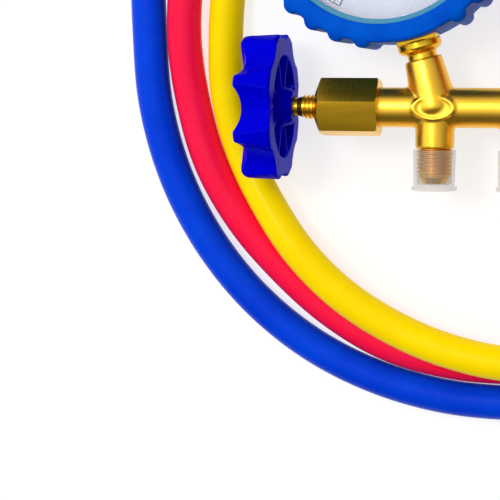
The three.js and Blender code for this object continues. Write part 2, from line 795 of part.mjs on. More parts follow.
const manifold = new THREE.Group();
manifold.add(piece("manifold_body", manifoldBody(), materials.brass), valves, gauges);
["left", "centre", "right"].forEach((place, index) => {
  const portCapMesh = piece(`port_cap_${place}`, portCap(), materials.clearPlastic);
  portCapMesh.position.x = (index - 1) * port.pitch;
  manifold.add(portCapMesh);
});
manifold.add(piece("hanging_hook", hangingHook(), materials.steel));
manifold.rotation.x = restPitch;
manifold.updateMatrixWorld(true);
const resting = new THREE.Box3().setFromObject(manifold, true);
const middleY = (resting.min.y + resting.max.y) / 2;
manifold.position.set(0, -middleY, -resting.min.z);

const hoses = new THREE.Group();
hoses.add(
  hoseGroup("blue", materials.blueHose),
  hoseGroup("red", materials.redHose),
  hoseGroup("yellow", materials.yellowHose),
);
hoses.position.y = -middleY;

const set = new THREE.Group();
set.add(manifold, hoses);

export default set;
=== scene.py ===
"""A service manifold gauge set on a pale studio floor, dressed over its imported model.

The set lies on its back: a forged brass manifold with a handwheel valve at each end, two gauges in
ribbed rubber boots, clear caps on the flare ports, a wire hook and three coiled charging hoses.
Sizes in the classes are millimetres in a piece's own frame, and placed meshes are metres.
"""

import logging
import math
from dataclasses import dataclass, field
from enum import Enum
from typing import Sequence

import bmesh
import bpy
from mathutils import Euler, Matrix, Vector


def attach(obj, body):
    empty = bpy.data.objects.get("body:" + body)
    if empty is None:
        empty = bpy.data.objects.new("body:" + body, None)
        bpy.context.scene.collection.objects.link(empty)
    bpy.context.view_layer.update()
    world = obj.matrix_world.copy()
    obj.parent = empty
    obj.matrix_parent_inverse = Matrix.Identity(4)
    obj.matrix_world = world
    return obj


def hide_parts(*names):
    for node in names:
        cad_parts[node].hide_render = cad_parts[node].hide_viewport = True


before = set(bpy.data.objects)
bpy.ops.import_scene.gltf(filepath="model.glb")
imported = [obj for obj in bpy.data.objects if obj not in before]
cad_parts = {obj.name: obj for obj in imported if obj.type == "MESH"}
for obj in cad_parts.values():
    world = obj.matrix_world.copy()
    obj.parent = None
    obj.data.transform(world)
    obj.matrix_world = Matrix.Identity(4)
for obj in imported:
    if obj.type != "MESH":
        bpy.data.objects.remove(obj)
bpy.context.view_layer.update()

LOG = logging.getLogger("gauge_set")

MILLIMETRE = 0.001

Row = Sequence[float]
Colour = tuple[float, float, float]
Shell = bmesh.types.BMesh

THREAD_STEPS = 48  # straight pieces in one turn of a thread
THREAD_FOOT = 0.46  # half the ridge's width at its foot, as a share of the pitch
THREAD_LAND = 0.09  # half its width at the crest


class Side(Enum):
    """The two ends of the manifold, with their sign along the bar."""

    LOW = -1
    HIGH = 1

    @property
    def label(self) -> str:
        """The word that the side's nodes end with."""
        return self.name.lower()


class Place(Enum):
    """The three ports, with their place along the bar in pitches."""

    LEFT = -1
    CENTRE = 0
    RIGHT = 1


class Pattern(Enum):
    """The ways a finish varies over a surface."""

    CLOUDY = "cloudy"
    STREAKED = "streaked"


# Meshes


def rounded(rows: Sequence[Row], steps: int = 4) -> list[tuple[float, float]]:
    """Rounds the corners of a profile.

    Args:
        rows: Corners as (radius, height) or (radius, height, fillet).
        steps: Straight pieces in each fillet.

    Returns:
        The profile with an arc at each corner that has a fillet.
    """
    points: list[tuple[float, float]] = []
    count = len(rows)
    for index, row in enumerate(rows):
        here = Vector(row[:2])
        fillet = row[2] if len(row) > 2 else 0.0
        if fillet <= 0.0:
            points.append((here.x, here.y))
            continue
        before = Vector(rows[index - 1][:2]) - here
        after = Vector(rows[(index + 1) % count][:2]) - here
        half = before.angle(after) / 2
        reach = min(fillet / math.tan(half), 0.49 * before.length, 0.49 * after.length)
        first = here + before.normalized() * reach
        last = here + after.normalized() * reach
        for step in range(steps + 1):
            share = step / steps
            points.append(tuple(first.lerp(here, share).lerp(here.lerp(last, share), share)))
    return points


def swept(mesh: Shell, parts: list, angle: float, steps: int, **options: object) -> None:
    """Spins parts of a shell round Z by an angle in radians."""
    bmesh.ops.spin(mesh, geom=parts, cent=(0, 0, 0), axis=(0, 0, 1), angle=angle, steps=steps, **options)


def turned(rows: Sequence[Row], segments: int = 96, steps: int = 4) -> Shell:
    """Turns a profile round Z into a closed shell.

    Args:
        rows: Corners of the profile, with optional fillets.
        segments: Flats round the piece.
        steps: Straight pieces in each fillet.

    Returns:
        The turned shell.
    """
    mesh = bmesh.new()
    verts = [mesh.verts.new((radius, 0.0, height)) for radius, height in rounded(rows, steps)]
    edges = [mesh.edges.new(pair) for pair in zip(verts, verts[1:])]
    if rows[0][0] > 0.0:
        edges.append(mesh.edges.new((verts[-1], verts[0])))
    swept(mesh, verts + edges, 2 * math.pi, segments, use_merge=True)
    bmesh.ops.remove_doubles(mesh, verts=mesh.verts, dist=1e-4)
    bmesh.ops.recalc_face_normals(mesh, faces=mesh.faces)
    return mesh


def helix(root: float, crest: float, pitch: float, start: float, end: float) -> Shell:
    """Winds one thread ridge round Z.

    Args:
        root: Radius that the ridge rises from.
        crest: Radius of its crest.
        pitch: Rise in one turn.
        start: Height of its lower end.
        end: Height of its upper end.

    Returns:
        The ridge as a closed shell.
    """
    mesh = bmesh.new()
    turns = (end - start - pitch) / pitch
    steps = max(8, round(turns * THREAD_STEPS))
    base = start + 0.5 * pitch
    corners = [(root, -THREAD_FOOT), (crest, -THREAD_LAND), (crest, THREAD_LAND), (root, THREAD_FOOT)]
    verts = [mesh.verts.new((radius, 0.0, base + share * pitch)) for radius, share in corners]
    section = mesh.faces.new(verts)
    swept(mesh, [section], 2 * math.pi * turns, steps, dvec=(0, 0, turns * pitch / steps))
    bmesh.ops.recalc_face_normals(mesh, faces=mesh.faces)
    return mesh


def block(width: float, depth: float, height: float, edge: float) -> Shell:
    """A box about the origin with rounded edges.

    Args:
        width: Size along X.
        depth: Size along Y.
        height: Size along Z.
        edge: Radius of its edges.

    Returns:
        The box.
    """
    mesh = bmesh.new()
    bmesh.ops.create_cube(mesh, size=1.0)
    bmesh.ops.scale(mesh, vec=(width, depth, height), verts=mesh.verts)
    bmesh.ops.bevel(
        mesh,
        geom=mesh.edges[:],
        offset=edge,
        segments=3,
        profile=0.5,
        affect="EDGES",
        material=-1,
    )
    return mesh


def rod(radius: float, length: float, segments: int = 96) -> Shell:
    """A straight prism along Z, about the origin."""
    mesh = bmesh.new()
    bmesh.ops.create_cone(
        mesh, cap_ends=True, segments=segments, radius1=radius, radius2=radius, depth=length
    )
    return mesh


def gathered(*meshes: Shell) -> Shell:
    """Puts several shells into the first one.

    Args:
        *meshes: The shells. All but the first are freed.

    Returns:
        The first shell with the others in it.
    """
    first, *others = meshes
    for other in others:
        carrier = bpy.data.meshes.new("carrier")
        other.to_mesh(carrier)
        other.free()
        first.from_mesh(carrier)
        bpy.data.meshes.remove(carrier)
    return first


def placed(mesh: Shell, *steps: Matrix) -> Shell:
    """Moves a shell by the product of some matrices.

    Args:
        mesh: The shell.
        *steps: The matrices, outermost first.

    Returns:
        The same shell.
    """
    whole = Matrix.Identity(4)
    for step in steps:
        whole = whole @ step
    bmesh.ops.transform(mesh, matrix=whole, verts=mesh.verts)
    return mesh


def shift(x: float = 0.0, y: float = 0.0, z: float = 0.0) -> Matrix:
    """A move by x, y and z."""
    return Matrix.Translation((x, y, z))


def turn(degrees: float, axis: str) -> Matrix:
    """A turn about an axis."""
    return Matrix.Rotation(math.radians(degrees), 4, axis)


Z_TO_X = turn(90, "Y")
Z_TO_Y = turn(-90, "X")
Z_TO_MINUS_Y = turn(90, "X")


def linked(name: str, data: bpy.types.ID) -> bpy.types.Object:
    """Makes an object of some data and puts it in the scene."""
    made = bpy.data.objects.new(name, data)
    bpy.context.scene.collection.objects.link(made)
    return made


def _scratch_object(mesh: Shell, name: str) -> bpy.types.Object:
    """Links a shell as a working object and frees it."""
    data = bpy.data.meshes.new(name)
    mesh.to_mesh(data)
    mesh.free()
    return linked(name, data)


def _collected(base: bpy.types.Object, *tools: bpy.types.Object) -> Shell:
    """Reads a working object with its modifiers, and removes it and its tools."""
    graph = bpy.context.evaluated_depsgraph_get()
    data = bpy.data.meshes.new_from_object(base.evaluated_get(graph), depsgraph=graph)
    mesh = bmesh.new()
    mesh.from_mesh(data)
    bpy.data.meshes.remove(data)
    for gone in (base, *tools):
        old = gone.data
        store = bpy.data.curves if isinstance(old, bpy.types.Curve) else bpy.data.meshes
        bpy.data.objects.remove(gone)
        store.remove(old)
    return mesh


def carved(base: Shell, tool: Shell, operation: str = "DIFFERENCE") -> Shell:
    """Cuts one shell with another.

    Args:
        base: The shell that is cut.
        tool: The shell that cuts.
        operation: DIFFERENCE or INTERSECT.

    Returns:
        The cut shell.
    """
    body, knife = _scratch_object(base, "carved_base"), _scratch_object(tool, "carved_tool")
    cut = body.modifiers.new("cut", "BOOLEAN")
    cut.operation, cut.solver, cut.object = operation, "EXACT", knife
    return _collected(body, knife)


def melted(mesh: Shell, voxel: float, smoothing: int) -> Shell:
    """Fuses overlapping shells into one skin with soft fillets, as forging and moulding leave.

    Args:
        mesh: The shells.
        voxel: Size of a cell of the new skin.
        smoothing: Rounds of smoothing.

    Returns:
        The skin.
    """
    body = _scratch_object(mesh, "melted")
    skin = body.modifiers.new("skin", "REMESH")
    skin.mode, skin.voxel_size = "VOXEL", voxel
    soft = body.modifiers.new("soft", "SMOOTH")
    soft.factor, soft.iterations = 0.5, smoothing
    return _collected(body)


def edge_rounded(mesh: Shell, width: float, angle: float = 25.0) -> Shell:
    """Rounds the sharp edges of a shell.

    Args:
        mesh: The shell.
        width: Width of the rounding.
        angle: Edges between faces that differ by more degrees than this are rounded.

    Returns:
        The rounded shell.
    """
    body = _scratch_object(mesh, "rounded")
    bevel = body.modifiers.new("bevel", "BEVEL")
    bevel.width, bevel.segments = width, 3
    bevel.limit_method, bevel.angle_limit = "ANGLE", math.radians(angle)
    bevel.use_clamp_overlap = True
    return _collected(body)


# Finishes

NOISE_SPAN = (0.3, 0.7)  # the part of a noise's range that carries its variation
CLOUD_DETAIL = 5.0
FINE_DETAIL = 3.0
STREAK_STRETCH = (0.15, 1.0, 1.0)
BUMP_STRENGTH = 0.6


def set_inputs(node: bpy.types.Node, values: dict[str, object]) -> None:
    """Sets the unlinked inputs of a node."""
    for name, value in values.items():
        node.inputs[name].default_value = value


@dataclass(frozen=True)
class Finish:
    """How a material of the set looks.

    Attributes:
        name: The material's name.
        light: Its main colour.
        dark: The colour that it drifts to.
        roughness: Lowest and highest roughness.
        grain: Size of the pattern in millimetres.
        relief: Depth of the bumps in millimetres.
        relief_grain: Size of the bumps in millimetres.
        metallic: 1 for bare metal.
        pattern: How the colour varies.
        alpha: How solid it looks.
        specular: Strength of the reflection of a non-metal.
        glow: Brightness of its own, for the studio floor alone.
        ior: Index of refraction, low where a slanted face shines little.
    """

    name: str
    light: Colour
    dark: Colour
    roughness: tuple[float, float] = (0.3, 0.45)
    grain: float = 6.0
    relief: float = 0.01
    relief_grain: float = 0.6
    metallic: float = 0.0
    pattern: Pattern = Pattern.CLOUDY
    alpha: float = 1.0
    specular: float = 0.5
    glow: float = 0.0
    ior: float = 1.45

    def material(self) -> bpy.types.Material:
        """Makes the finish as a node material.

        Returns:
            The material, made once and shared.
        """
        title = f"{self.name}_finish"
        known = bpy.data.materials.get(title)
        if known is not None:
            return known
        made = bpy.data.materials.new(title)
        made.use_nodes = True
        tree = made.node_tree
        shader = tree.nodes["Principled BSDF"]
        set_inputs(shader, {
            "Metallic": self.metallic, "Alpha": self.alpha, "Specular IOR Level": self.specular,
            "IOR": self.ior, "Emission Color": (1.0, 1.0, 1.0, 1.0), "Emission Strength": self.glow,
        })
        place = tree.nodes.new("ShaderNodeTexCoord")
        stretch = tree.nodes.new("ShaderNodeMapping")
        tree.links.new(place.outputs["Object"], stretch.inputs["Vector"])
        if self.pattern is Pattern.STREAKED:
            stretch.inputs["Scale"].default_value = STREAK_STRETCH
        cloud = self._noise(tree, stretch, self.grain, CLOUD_DETAIL)
        fine = self._noise(tree, place, self.relief_grain, FINE_DETAIL)
        tint = tree.nodes.new("ShaderNodeMapRange")
        low, high = NOISE_SPAN
        set_inputs(tint, {"From Min": low, "From Max": high})
        tree.links.new(cloud.outputs["Fac"], tint.inputs["Value"])
        colours = tree.nodes.new("ShaderNodeMix")
        colours.data_type = "RGBA"
        set_inputs(colours, {"A": (*self.light, 1.0), "B": (*self.dark, 1.0)})
        tree.links.new(tint.outputs["Result"], colours.inputs["Factor"])
        tree.links.new(colours.outputs["Result"], shader.inputs["Base Color"])
        dullness = tree.nodes.new("ShaderNodeMapRange")
        sheen, haze = self.roughness
        set_inputs(dullness, {"From Min": low, "From Max": high, "To Min": sheen, "To Max": haze})
        tree.links.new(fine.outputs["Fac"], dullness.inputs["Value"])
        tree.links.new(dullness.outputs["Result"], shader.inputs["Roughness"])
        bump = tree.nodes.new("ShaderNodeBump")
        set_inputs(bump, {"Strength": BUMP_STRENGTH, "Distance": self.relief * MILLIMETRE})
        tree.links.new(fine.outputs["Fac"], bump.inputs["Height"])
        tree.links.new(bump.outputs["Normal"], shader.inputs["Normal"])
        return made

    @staticmethod
    def _noise(
        tree: bpy.types.NodeTree, source: bpy.types.Node, size: float, detail: float
    ) -> bpy.types.Node:
        """Adds a noise of a given size.

        Args:
            tree: The material's nodes.
            source: A node whose first vector output places the noise.
            size: Size of a cell in millimetres.
            detail: Levels of finer noise.

        Returns:
            The noise node.
        """
        noise = tree.nodes.new("ShaderNodeTexNoise")
        set_inputs(noise, {"Scale": 1 / (size * MILLIMETRE), "Detail": detail})
        output = "Object" if "Object" in source.outputs else "Vector"
        tree.links.new(source.outputs[output], noise.inputs["Vector"])
        return noise


FORGED_BRASS = Finish(
    "forged_brass", (0.95, 0.58, 0.06), (0.87, 0.49, 0.03), (0.3, 0.36), 11, 0.004, 0.9, 1.0
)
TURNED_BRASS = Finish(
    "turned_brass", (0.95, 0.58, 0.04), (0.88, 0.5, 0.02), (0.27, 0.3), 5, 0.0004, 0.6, 1.0,
    Pattern.STREAKED,
)
BRIGHT_STEEL = Finish(
    "bright_steel", (0.72, 0.73, 0.75), (0.6, 0.61, 0.63), (0.14, 0.24), 4, 0.006, 0.4, 1.0
)
CASE_PAINT = Finish(
    "case_paint", (0.0, 0.06, 0.1), (0.0, 0.05, 0.09), (0.3, 0.4), 5, 0.004, 0.3
)
# Painted highlight: the steel bezel is coloured a bright teal so that it shows as the lit edge of the boot's
# lip.
RIM_HIGHLIGHT_TEAL = Finish(
    "rim_highlight_teal", (0.0, 0.24, 0.4), (0.0, 0.2, 0.35), (0.3, 0.4), 5, 0.004, 0.3, specular=0.3
)
WHEEL_BLUE = Finish(
    "wheel_blue", (0.0, 0.0, 0.64), (0.0, 0.0, 0.54), (0.24, 0.3), 7, 0.003, 1.2,
    specular=0.12, ior=1.12,
)
WHEEL_RED = Finish(
    "wheel_red", (0.55, 0.0, 0.0), (0.44, 0.0, 0.0), (0.24, 0.3), 7, 0.003, 1.2,
    specular=0.12, ior=1.12,
)
BOOT_BLUE = Finish(
    "boot_blue", (0.0, 0.1, 0.62), (0.0, 0.065, 0.52), (0.3, 0.42), 8, 0.015, 0.5,
    specular=0.12, ior=1.1,
)
BOOT_RED = Finish(
    "boot_red", (0.66, 0.004, 0.01), (0.54, 0.002, 0.006), (0.3, 0.42), 8, 0.02, 0.5,
    specular=0.12, ior=1.1,
)
HOSE_BLUE = Finish(
    "hose_blue", (0.0, 0.062, 0.76), (0.0, 0.04, 0.64), (0.22, 0.32), 16, 0.008, 1.6, ior=1.14
)
HOSE_RED = Finish(
    "hose_red", (1.0, 0.01, 0.07), (1.0, 0.006, 0.05), (0.22, 0.32), 16, 0.008, 1.6, ior=1.2
)
HOSE_YELLOW = Finish(
    "hose_yellow", (1.0, 0.76, 0.0), (1.0, 0.68, 0.0), (0.22, 0.32), 16, 0.008, 1.6, ior=1.14
)
DIAL_WHITE = Finish(
    "dial_white", (0.66, 0.69, 0.82), (0.62, 0.65, 0.78), (0.4, 0.5), 10, 0.003, 0.3
)
PRINT_BLACK = Finish("print_black", (0.03, 0.03, 0.045), (0.05, 0.05, 0.07), (0.4, 0.5))
PRINT_PINK = Finish("print_pink", (0.85, 0.16, 0.34), (0.8, 0.2, 0.38), (0.4, 0.5))
PRINT_CYAN = Finish("print_cyan", (0.0, 0.42, 0.62), (0.02, 0.46, 0.66), (0.4, 0.5))
PRINT_GREEN = Finish("print_green", (0.05, 0.45, 0.2), (0.06, 0.5, 0.22), (0.4, 0.5))
POINTER_RED = Finish(
    "pointer_paint", (0.62, 0.02, 0.02), (0.55, 0.015, 0.015), (0.3, 0.4), 3, 0.004, 0.3
)
CAP_CLEAR = Finish(
    "cap_clear", (0.5, 0.4, 0.31), (0.44, 0.35, 0.27), (0.2, 0.32), 5, 0.006, 1.0,
    alpha=0.26, specular=0.4,
)
LENS_CLEAR = Finish(
    "lens_clear", (0.95, 0.97, 1.0), (0.92, 0.95, 1.0), (0.03, 0.06), 20, 0.001, 2.0,
    alpha=0.05, specular=0.6,
)
FLOOR = Finish(
    "floor", (0.34, 0.34, 0.34), (0.33, 0.33, 0.33), (0.6, 0.7), 60, 0.0, 4.0, specular=0.1, glow=0.72
)


@dataclass(frozen=True)
class Carrier:
    """What a piece rides on, and its material slot in the record.

    Attributes:
        body: The body that it moves with.
        slot: The record's material slot. It is not used.
    """

    body: str
    slot: str


def finished(
    mesh: Shell,
    name: str,
    place: Matrix,
    look: Finish,
    carrier: Carrier,
    nodes: Sequence[str] = (),
    crease: float = 35.0,
) -> bpy.types.Object:
    """Makes a shell in millimetres a finished piece in metres.

    Args:
        mesh: The shell, which is freed.
        name: The piece's name.
        place: The piece's frame in metres.
        look: Its finish.
        carrier: Its body and slot.
        nodes: The nodes that it stands for.
        crease: Edges sharper than this many degrees stay sharp.

    Returns:
        The piece.
    """
    placed(mesh, place, Matrix.Scale(MILLIMETRE, 4))
    data = bpy.data.meshes.new(name)
    mesh.to_mesh(data)
    mesh.free()
    data.shade_smooth()
    data.set_sharp_from_angle(angle=math.radians(crease))
    data.materials.append(look.material())
    piece = linked(name, data)
    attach(piece, carrier.body)
    if nodes:
        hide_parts(*nodes)
    LOG.info("%s: %d faces on %s", name, len(data.polygons), carrier.body)
    return piece


# The manifold's frame


@dataclass(frozen=True)
class Lay:
    """How the manifold lies on the floor.

    Attributes:
        bar_y: The bar's axis along Y.
        bar_z: Its height above the floor.
        pitch: Degrees by which the gauges are lower than the bar.
        port_pitch: Distance between ports.
        stem_tilt: Degrees by which the gauges lean outwards.
        stem_length: Distance from the bar's axis to a dial's centre.
    """

    bar_y: float = -38.01454
    bar_z: float = 23.50046
    pitch: float = 6.1804
    port_pitch: float = 26.6
    stem_tilt: float = 15.0
    stem_length: float = 62.0

    @property
    def manifold(self) -> Matrix:
        """The frame at the middle of the bar, in metres."""
        spot = Vector((0, self.bar_y, self.bar_z)) * MILLIMETRE
        return Matrix.Translation(spot) @ turn(-self.pitch, "X")

    def on_bar(self, *steps: Matrix) -> Matrix:
        """The bar's frame after steps in millimetres."""
        made = self.manifold @ Matrix.Scale(MILLIMETRE, 4)
        for step in steps:
            made = made @ step
        return made @ Matrix.Scale(1 / MILLIMETRE, 4)

    def valve(self, side: Side, *steps: Matrix) -> Matrix:
        """The frame whose X runs out through a valve."""
        return self.on_bar(turn(180 if side is Side.LOW else 0, "Z"), *steps)

    def boss(self, side: Side, *steps: Matrix) -> Matrix:
        """The frame whose Y runs up a gauge's stem from the bar."""
        return self.on_bar(
            shift(side.value * self.port_pitch), turn(-side.value * self.stem_tilt, "Z"), *steps
        )

    def gauge(self, side: Side, *steps: Matrix) -> Matrix:
        """The frame at a dial's centre."""
        return self.boss(side, shift(0, self.stem_length), *steps)


LAY = Lay()
ROOT = "manifold"


# The brass body


@dataclass
class ForgedBody:
    """The forged and machined brass body with its three flare ports."""

    bar_radius: float = 6.3
    half_length: float = 46.7
    neck_radius: float = 6.15
    neck_end: float = 12.9
    thread_root: float = 4.75
    thread_crest: float = 5.4
    thread_pitch: float = 1.27
    cone_start: float = 21.9
    tip_radius: float = 3.6
    tip_end: float = 23.9
    bore_radius: float = 2.4
    boss_foot: float = 7.4
    boss_top_radius: float = 5.9
    boss_top: float = 15.8
    dome_radius: float = 4.6
    dome_depth: float = 5.4
    dome_end: float = 6.2
    centre_radius: float = 5.8
    centre_top: float = 12.6
    pad_half_length: float = 6.8
    pad_half_width: float = 3.9
    pad_top: float = 6.8
    pad_sink: float = 0.45
    pad_floor_share: float = 0.78
    rim: float = 0.55
    voxel: float = 0.38
    smoothing: int = 7

    def forging(self) -> Shell:
        """Fuses the bar, necks, bosses and pads."""
        half, radius = self.half_length, self.bar_radius
        shells = [placed(turned([(0, -half), (radius, -half, 0.5), (radius, half, 0.5), (0, half)]), Z_TO_X)]
        for place in Place:
            neck = turned([
                (0, 0), (self.neck_radius, 0), (self.neck_radius, self.neck_end, 0.4), (0, self.neck_end),
            ])
            shells.append(placed(neck, shift(place.value * LAY.port_pitch), Z_TO_MINUS_Y))
        centre = turned([
            (0, 0), (self.centre_radius, 0), (self.centre_radius, self.centre_top, 0.6), (0, self.centre_top),
        ])
        shells.append(placed(centre, Z_TO_Y))
        for side in Side:
            where = shift(side.value * LAY.port_pitch)
            boss = turned([
                (0, -self.dome_end), (self.dome_radius, -self.dome_depth, 1.5), (self.boss_foot, 0, 3.0),
                (self.boss_top_radius, self.boss_top, 0.3), (0, self.boss_top),
            ])
            shells.append(placed(boss, where, turn(-side.value * LAY.stem_tilt, "Z"), Z_TO_Y))
            shells.append(placed(self._pad(), where))
        return melted(gathered(*shells), self.voxel, self.smoothing)

    def _pad(self) -> Shell:
        """The oval pad with its raised rim."""
        top, floor = self.pad_top, self.pad_top - self.pad_sink
        rim_inner = 1 - self.rim / self.pad_half_width
        disc = turned([
            (0, 0), (1, 0), (1, top), (rim_inner, top, 0.03), (self.pad_floor_share, floor, 0.03), (0, floor),
        ])
        return placed(disc, Matrix.Diagonal((self.pad_half_length, self.pad_half_width, 1, 1)))

    def flare(self) -> Shell:
        """One port's threaded flare end, along Z from the bar's axis."""
        core = turned([
            (self.bore_radius, self.neck_end - 1),
            (self.thread_root, self.neck_end - 1),
            (self.thread_root, self.cone_start, 0.2),
            (self.tip_radius, self.tip_end, 0.25),
            (self.bore_radius, self.tip_end, 0.2),
        ])
        ridge = helix(
            self.thread_root - 0.1, self.thread_crest, self.thread_pitch, self.neck_end - 0.3, self.cone_start
        )
        return gathered(core, ridge)

    def build(self) -> None:
        """Makes the body and its flare ends."""
        brass = Carrier(ROOT, "brass")
        finished(self.forging(), "forged_body", LAY.on_bar(), FORGED_BRASS, brass, ["manifold_body"])
        for place in Place:
            where = LAY.on_bar(shift(place.value * LAY.port_pitch), Z_TO_MINUS_Y)
            finished(self.flare(), f"flare_{place.name.lower()}", where, TURNED_BRASS, brass)


# Valves


@dataclass
class Valve:
    """A valve at one end of the bar, with its handwheel."""

    side: Side
    across_flats: float = 17.0
    inner: float = 44.2
    outer: float = 64.5
    face_radius: float = 5.5
    chamfer_length: float = 1.9
    corner_angle: float = 10.2
    bore_radius: float = 4.25
    thread_root: float = 3.35
    thread_crest: float = 3.95
    thread_pitch: float = 1.25
    thread_end: float = 68.9
    tail_radius: float = 2.9
    tail_end: float = 84.2
    crest_angle: float = 20.9
    crest_radius: float = 23.9
    valley_radius: float = 20.6
    scoop_radius: float = 12.0
    scoop_tilt: float = 9.0
    scoop_length: float = 44.0
    lobes: int = 8
    wheel_inner: float = 75.1
    wheel_outer: float = 87.4
    face_scoop_radius: float = 10.5
    face_scoop_depth: float = 3.4
    face_scoop_tilt: float = 13.0
    pocket_depth: float = 6.765
    rim_width: float = 4.2
    hub_radius: float = 6.4
    hub_end: float = 72.0
    hub_tip_radius: float = 5.2
    screw_recess: float = 5.6
    screw_depth: float = 2.2
    rib: float = 1.5
    rib_lift: float = 0.3
    thread_inside: float = 6.0
    ridge_inside: float = 4.0
    screw_radius: float = 4.1
    screw_slot: Row = (4.6, 0.9, 1.6)
    voxel: float = 0.34
    smoothing: int = 4

    @property
    def corner_radius(self) -> float:
        """Radius of the hexagon's corners."""
        return self.across_flats / math.sqrt(3)

    def bonnet(self) -> Shell:
        """The hexagon with its ends chamfered by the lathe."""
        corner, length = self.corner_radius, self.outer - self.inner
        hexagon = rod(corner, length, 6)
        placed(hexagon, shift(0, 0, self.inner + length / 2), turn(30 + self.corner_angle, "Z"))
        envelope = turned([
            (self.bore_radius, self.inner),
            (corner - 0.7, self.inner),
            (corner, self.inner + 0.35),
            (corner, self.outer - self.chamfer_length),
            (self.face_radius, self.outer),
            (self.bore_radius, self.outer),
        ], 120)
        return edge_rounded(carved(hexagon, envelope, "INTERSECT"), 0.22, 18)

    def spindle(self) -> Shell:
        """The threaded spindle and its plain tail."""
        stick = turned([
            (0, self.outer - self.thread_inside),
            (self.thread_root, self.outer - self.thread_inside),
            (self.thread_root, self.thread_end, 0.2),
            (self.tail_radius, self.thread_end + 1.6, 0.4),
            (self.tail_radius, self.tail_end, 0.3),
            (0, self.tail_end),
        ], 64)
        ridge = helix(
            self.thread_root - 0.1, self.thread_crest, self.thread_pitch,
            self.outer - self.ridge_inside, self.thread_end,
        )
        return gathered(stick, ridge)

    def handwheel(self) -> Shell:
        """The moulded wheel, scooped for the fingers and ribbed inside."""
        floor = self.wheel_inner + self.pocket_depth
        rim_inner = self.valley_radius - self.rim_width
        bore = self.tail_radius + 0.3
        disc = turned([
            (bore, self.hub_end),
            (self.hub_tip_radius, self.hub_end, 0.5),
            (self.hub_radius, self.wheel_inner),
            (self.hub_radius, floor, 0.5),
            (rim_inner, floor, 0.5),
            (rim_inner, self.wheel_inner, 0.4),
            (self.crest_radius, self.wheel_inner, 0.8),
            (self.crest_radius, self.wheel_outer, 2.6),
            (self.screw_recess, self.wheel_outer, 0.5),
            (self.screw_recess, self.wheel_outer - self.screw_depth),
            (bore, self.wheel_outer - self.screw_depth),
        ], 160)
        step = 360 / self.lobes
        middle = (self.wheel_inner + self.wheel_outer) / 2
        scoops = [self._scoop((lobe + 0.5) * step, middle) for lobe in range(self.lobes)]
        wheel = carved(disc, gathered(*scoops))
        for lobe in range(self.lobes):
            wheel = carved(wheel, self._face_scoop((lobe + 0.5) * step))
        length = rim_inner + 1 - (self.hub_radius - 1)
        middle = self.wheel_inner + self.pocket_depth / 2 + self.rib_lift
        for lobe in range(self.lobes):
            rib = block(length, self.rib, self.pocket_depth - 0.2, 0.25)
            placed(
                rib,
                turn(lobe * step, "Z"),
                shift(self.hub_radius - 1 + length / 2, 0, middle),
            )
            wheel = gathered(wheel, rib)
        return melted(wheel, self.voxel, self.smoothing)

    def _scoop(self, degrees: float, height: float) -> Shell:
        """The tool that cuts one finger valley, deeper at the outer face."""
        return placed(
            rod(self.scoop_radius, self.scoop_length),
            turn(degrees, "Z"),
            shift(self.valley_radius + self.scoop_radius, 0, height),
            turn(-self.scoop_tilt, "Y"),
        )

    def _face_scoop(self, degrees: float) -> Shell:
        """The tool that runs a valley on over the outer face."""
        radius = self.face_scoop_radius
        return placed(
            rod(radius, 2 * self.crest_radius),
            turn(degrees, "Z"),
            shift(self.crest_radius, 0, self.wheel_outer + radius - self.face_scoop_depth),
            turn(90 + self.face_scoop_tilt, "Y"),
        )

    def screw(self) -> Shell:
        """The cross-slotted holding screw."""
        seat = self.wheel_outer - self.screw_depth + 0.3
        top = seat + 1.7
        radius, middle = self.screw_radius, (seat + top) / 2
        head = turned(
            [(0, seat), (radius, seat, 0.2), (radius, middle, 0.3), (radius / 2, top, 0.8), (0, top)], 64
        )
        for angle in (0, 90):
            head = carved(head, placed(block(*self.screw_slot, 0.05), shift(0, 0, top), turn(angle, "Z")))
        return head

    def build(self) -> None:
        """Makes the valve's pieces."""
        label, along = self.side.label, LAY.valve(self.side, Z_TO_X)
        wheel_slot = "wheel_blue" if self.side is Side.LOW else "wheel_red"
        wheel_look = WHEEL_BLUE if self.side is Side.LOW else WHEEL_RED
        turning = LAY.valve(self.side, turn(-self.side.value * self.crest_angle, "X"), Z_TO_X)
        finished(
            self.bonnet(), f"hex_bonnet_{label}", along, TURNED_BRASS,
            Carrier(ROOT, "brass"), [f"bonnet_{label}"], 22,
        )
        finished(
            self.spindle(), f"threaded_spindle_{label}", along, TURNED_BRASS,
            Carrier(f"{label}_spindle", "brass"), [f"spindle_{label}"],
        )
        finished(
            self.handwheel(), f"moulded_wheel_{label}", turning, wheel_look,
            Carrier(f"{label}_wheel", wheel_slot), [f"handwheel_{label}"], 35,
        )
        finished(
            self.screw(), f"slotted_screw_{label}", turning, BRIGHT_STEEL,
            Carrier(f"{label}_wheel", "steel"), [f"wheel_screw_{label}"],
        )


# Gauges


@dataclass
class Scale:
    """The printed scale of a dial.

    Attributes:
        first: Degrees anticlockwise from the top where the scale starts.
        last: Degrees anticlockwise from the top where it ends.
        figures: The numbers from start to end.
        unit: The unit's name.
    """

    first: float
    last: float
    figures: Sequence[str]
    unit: str

    def angle(self, share: float) -> float:
        """Degrees anticlockwise from the top at a share of the scale."""
        return self.first + (self.last - self.first) * share


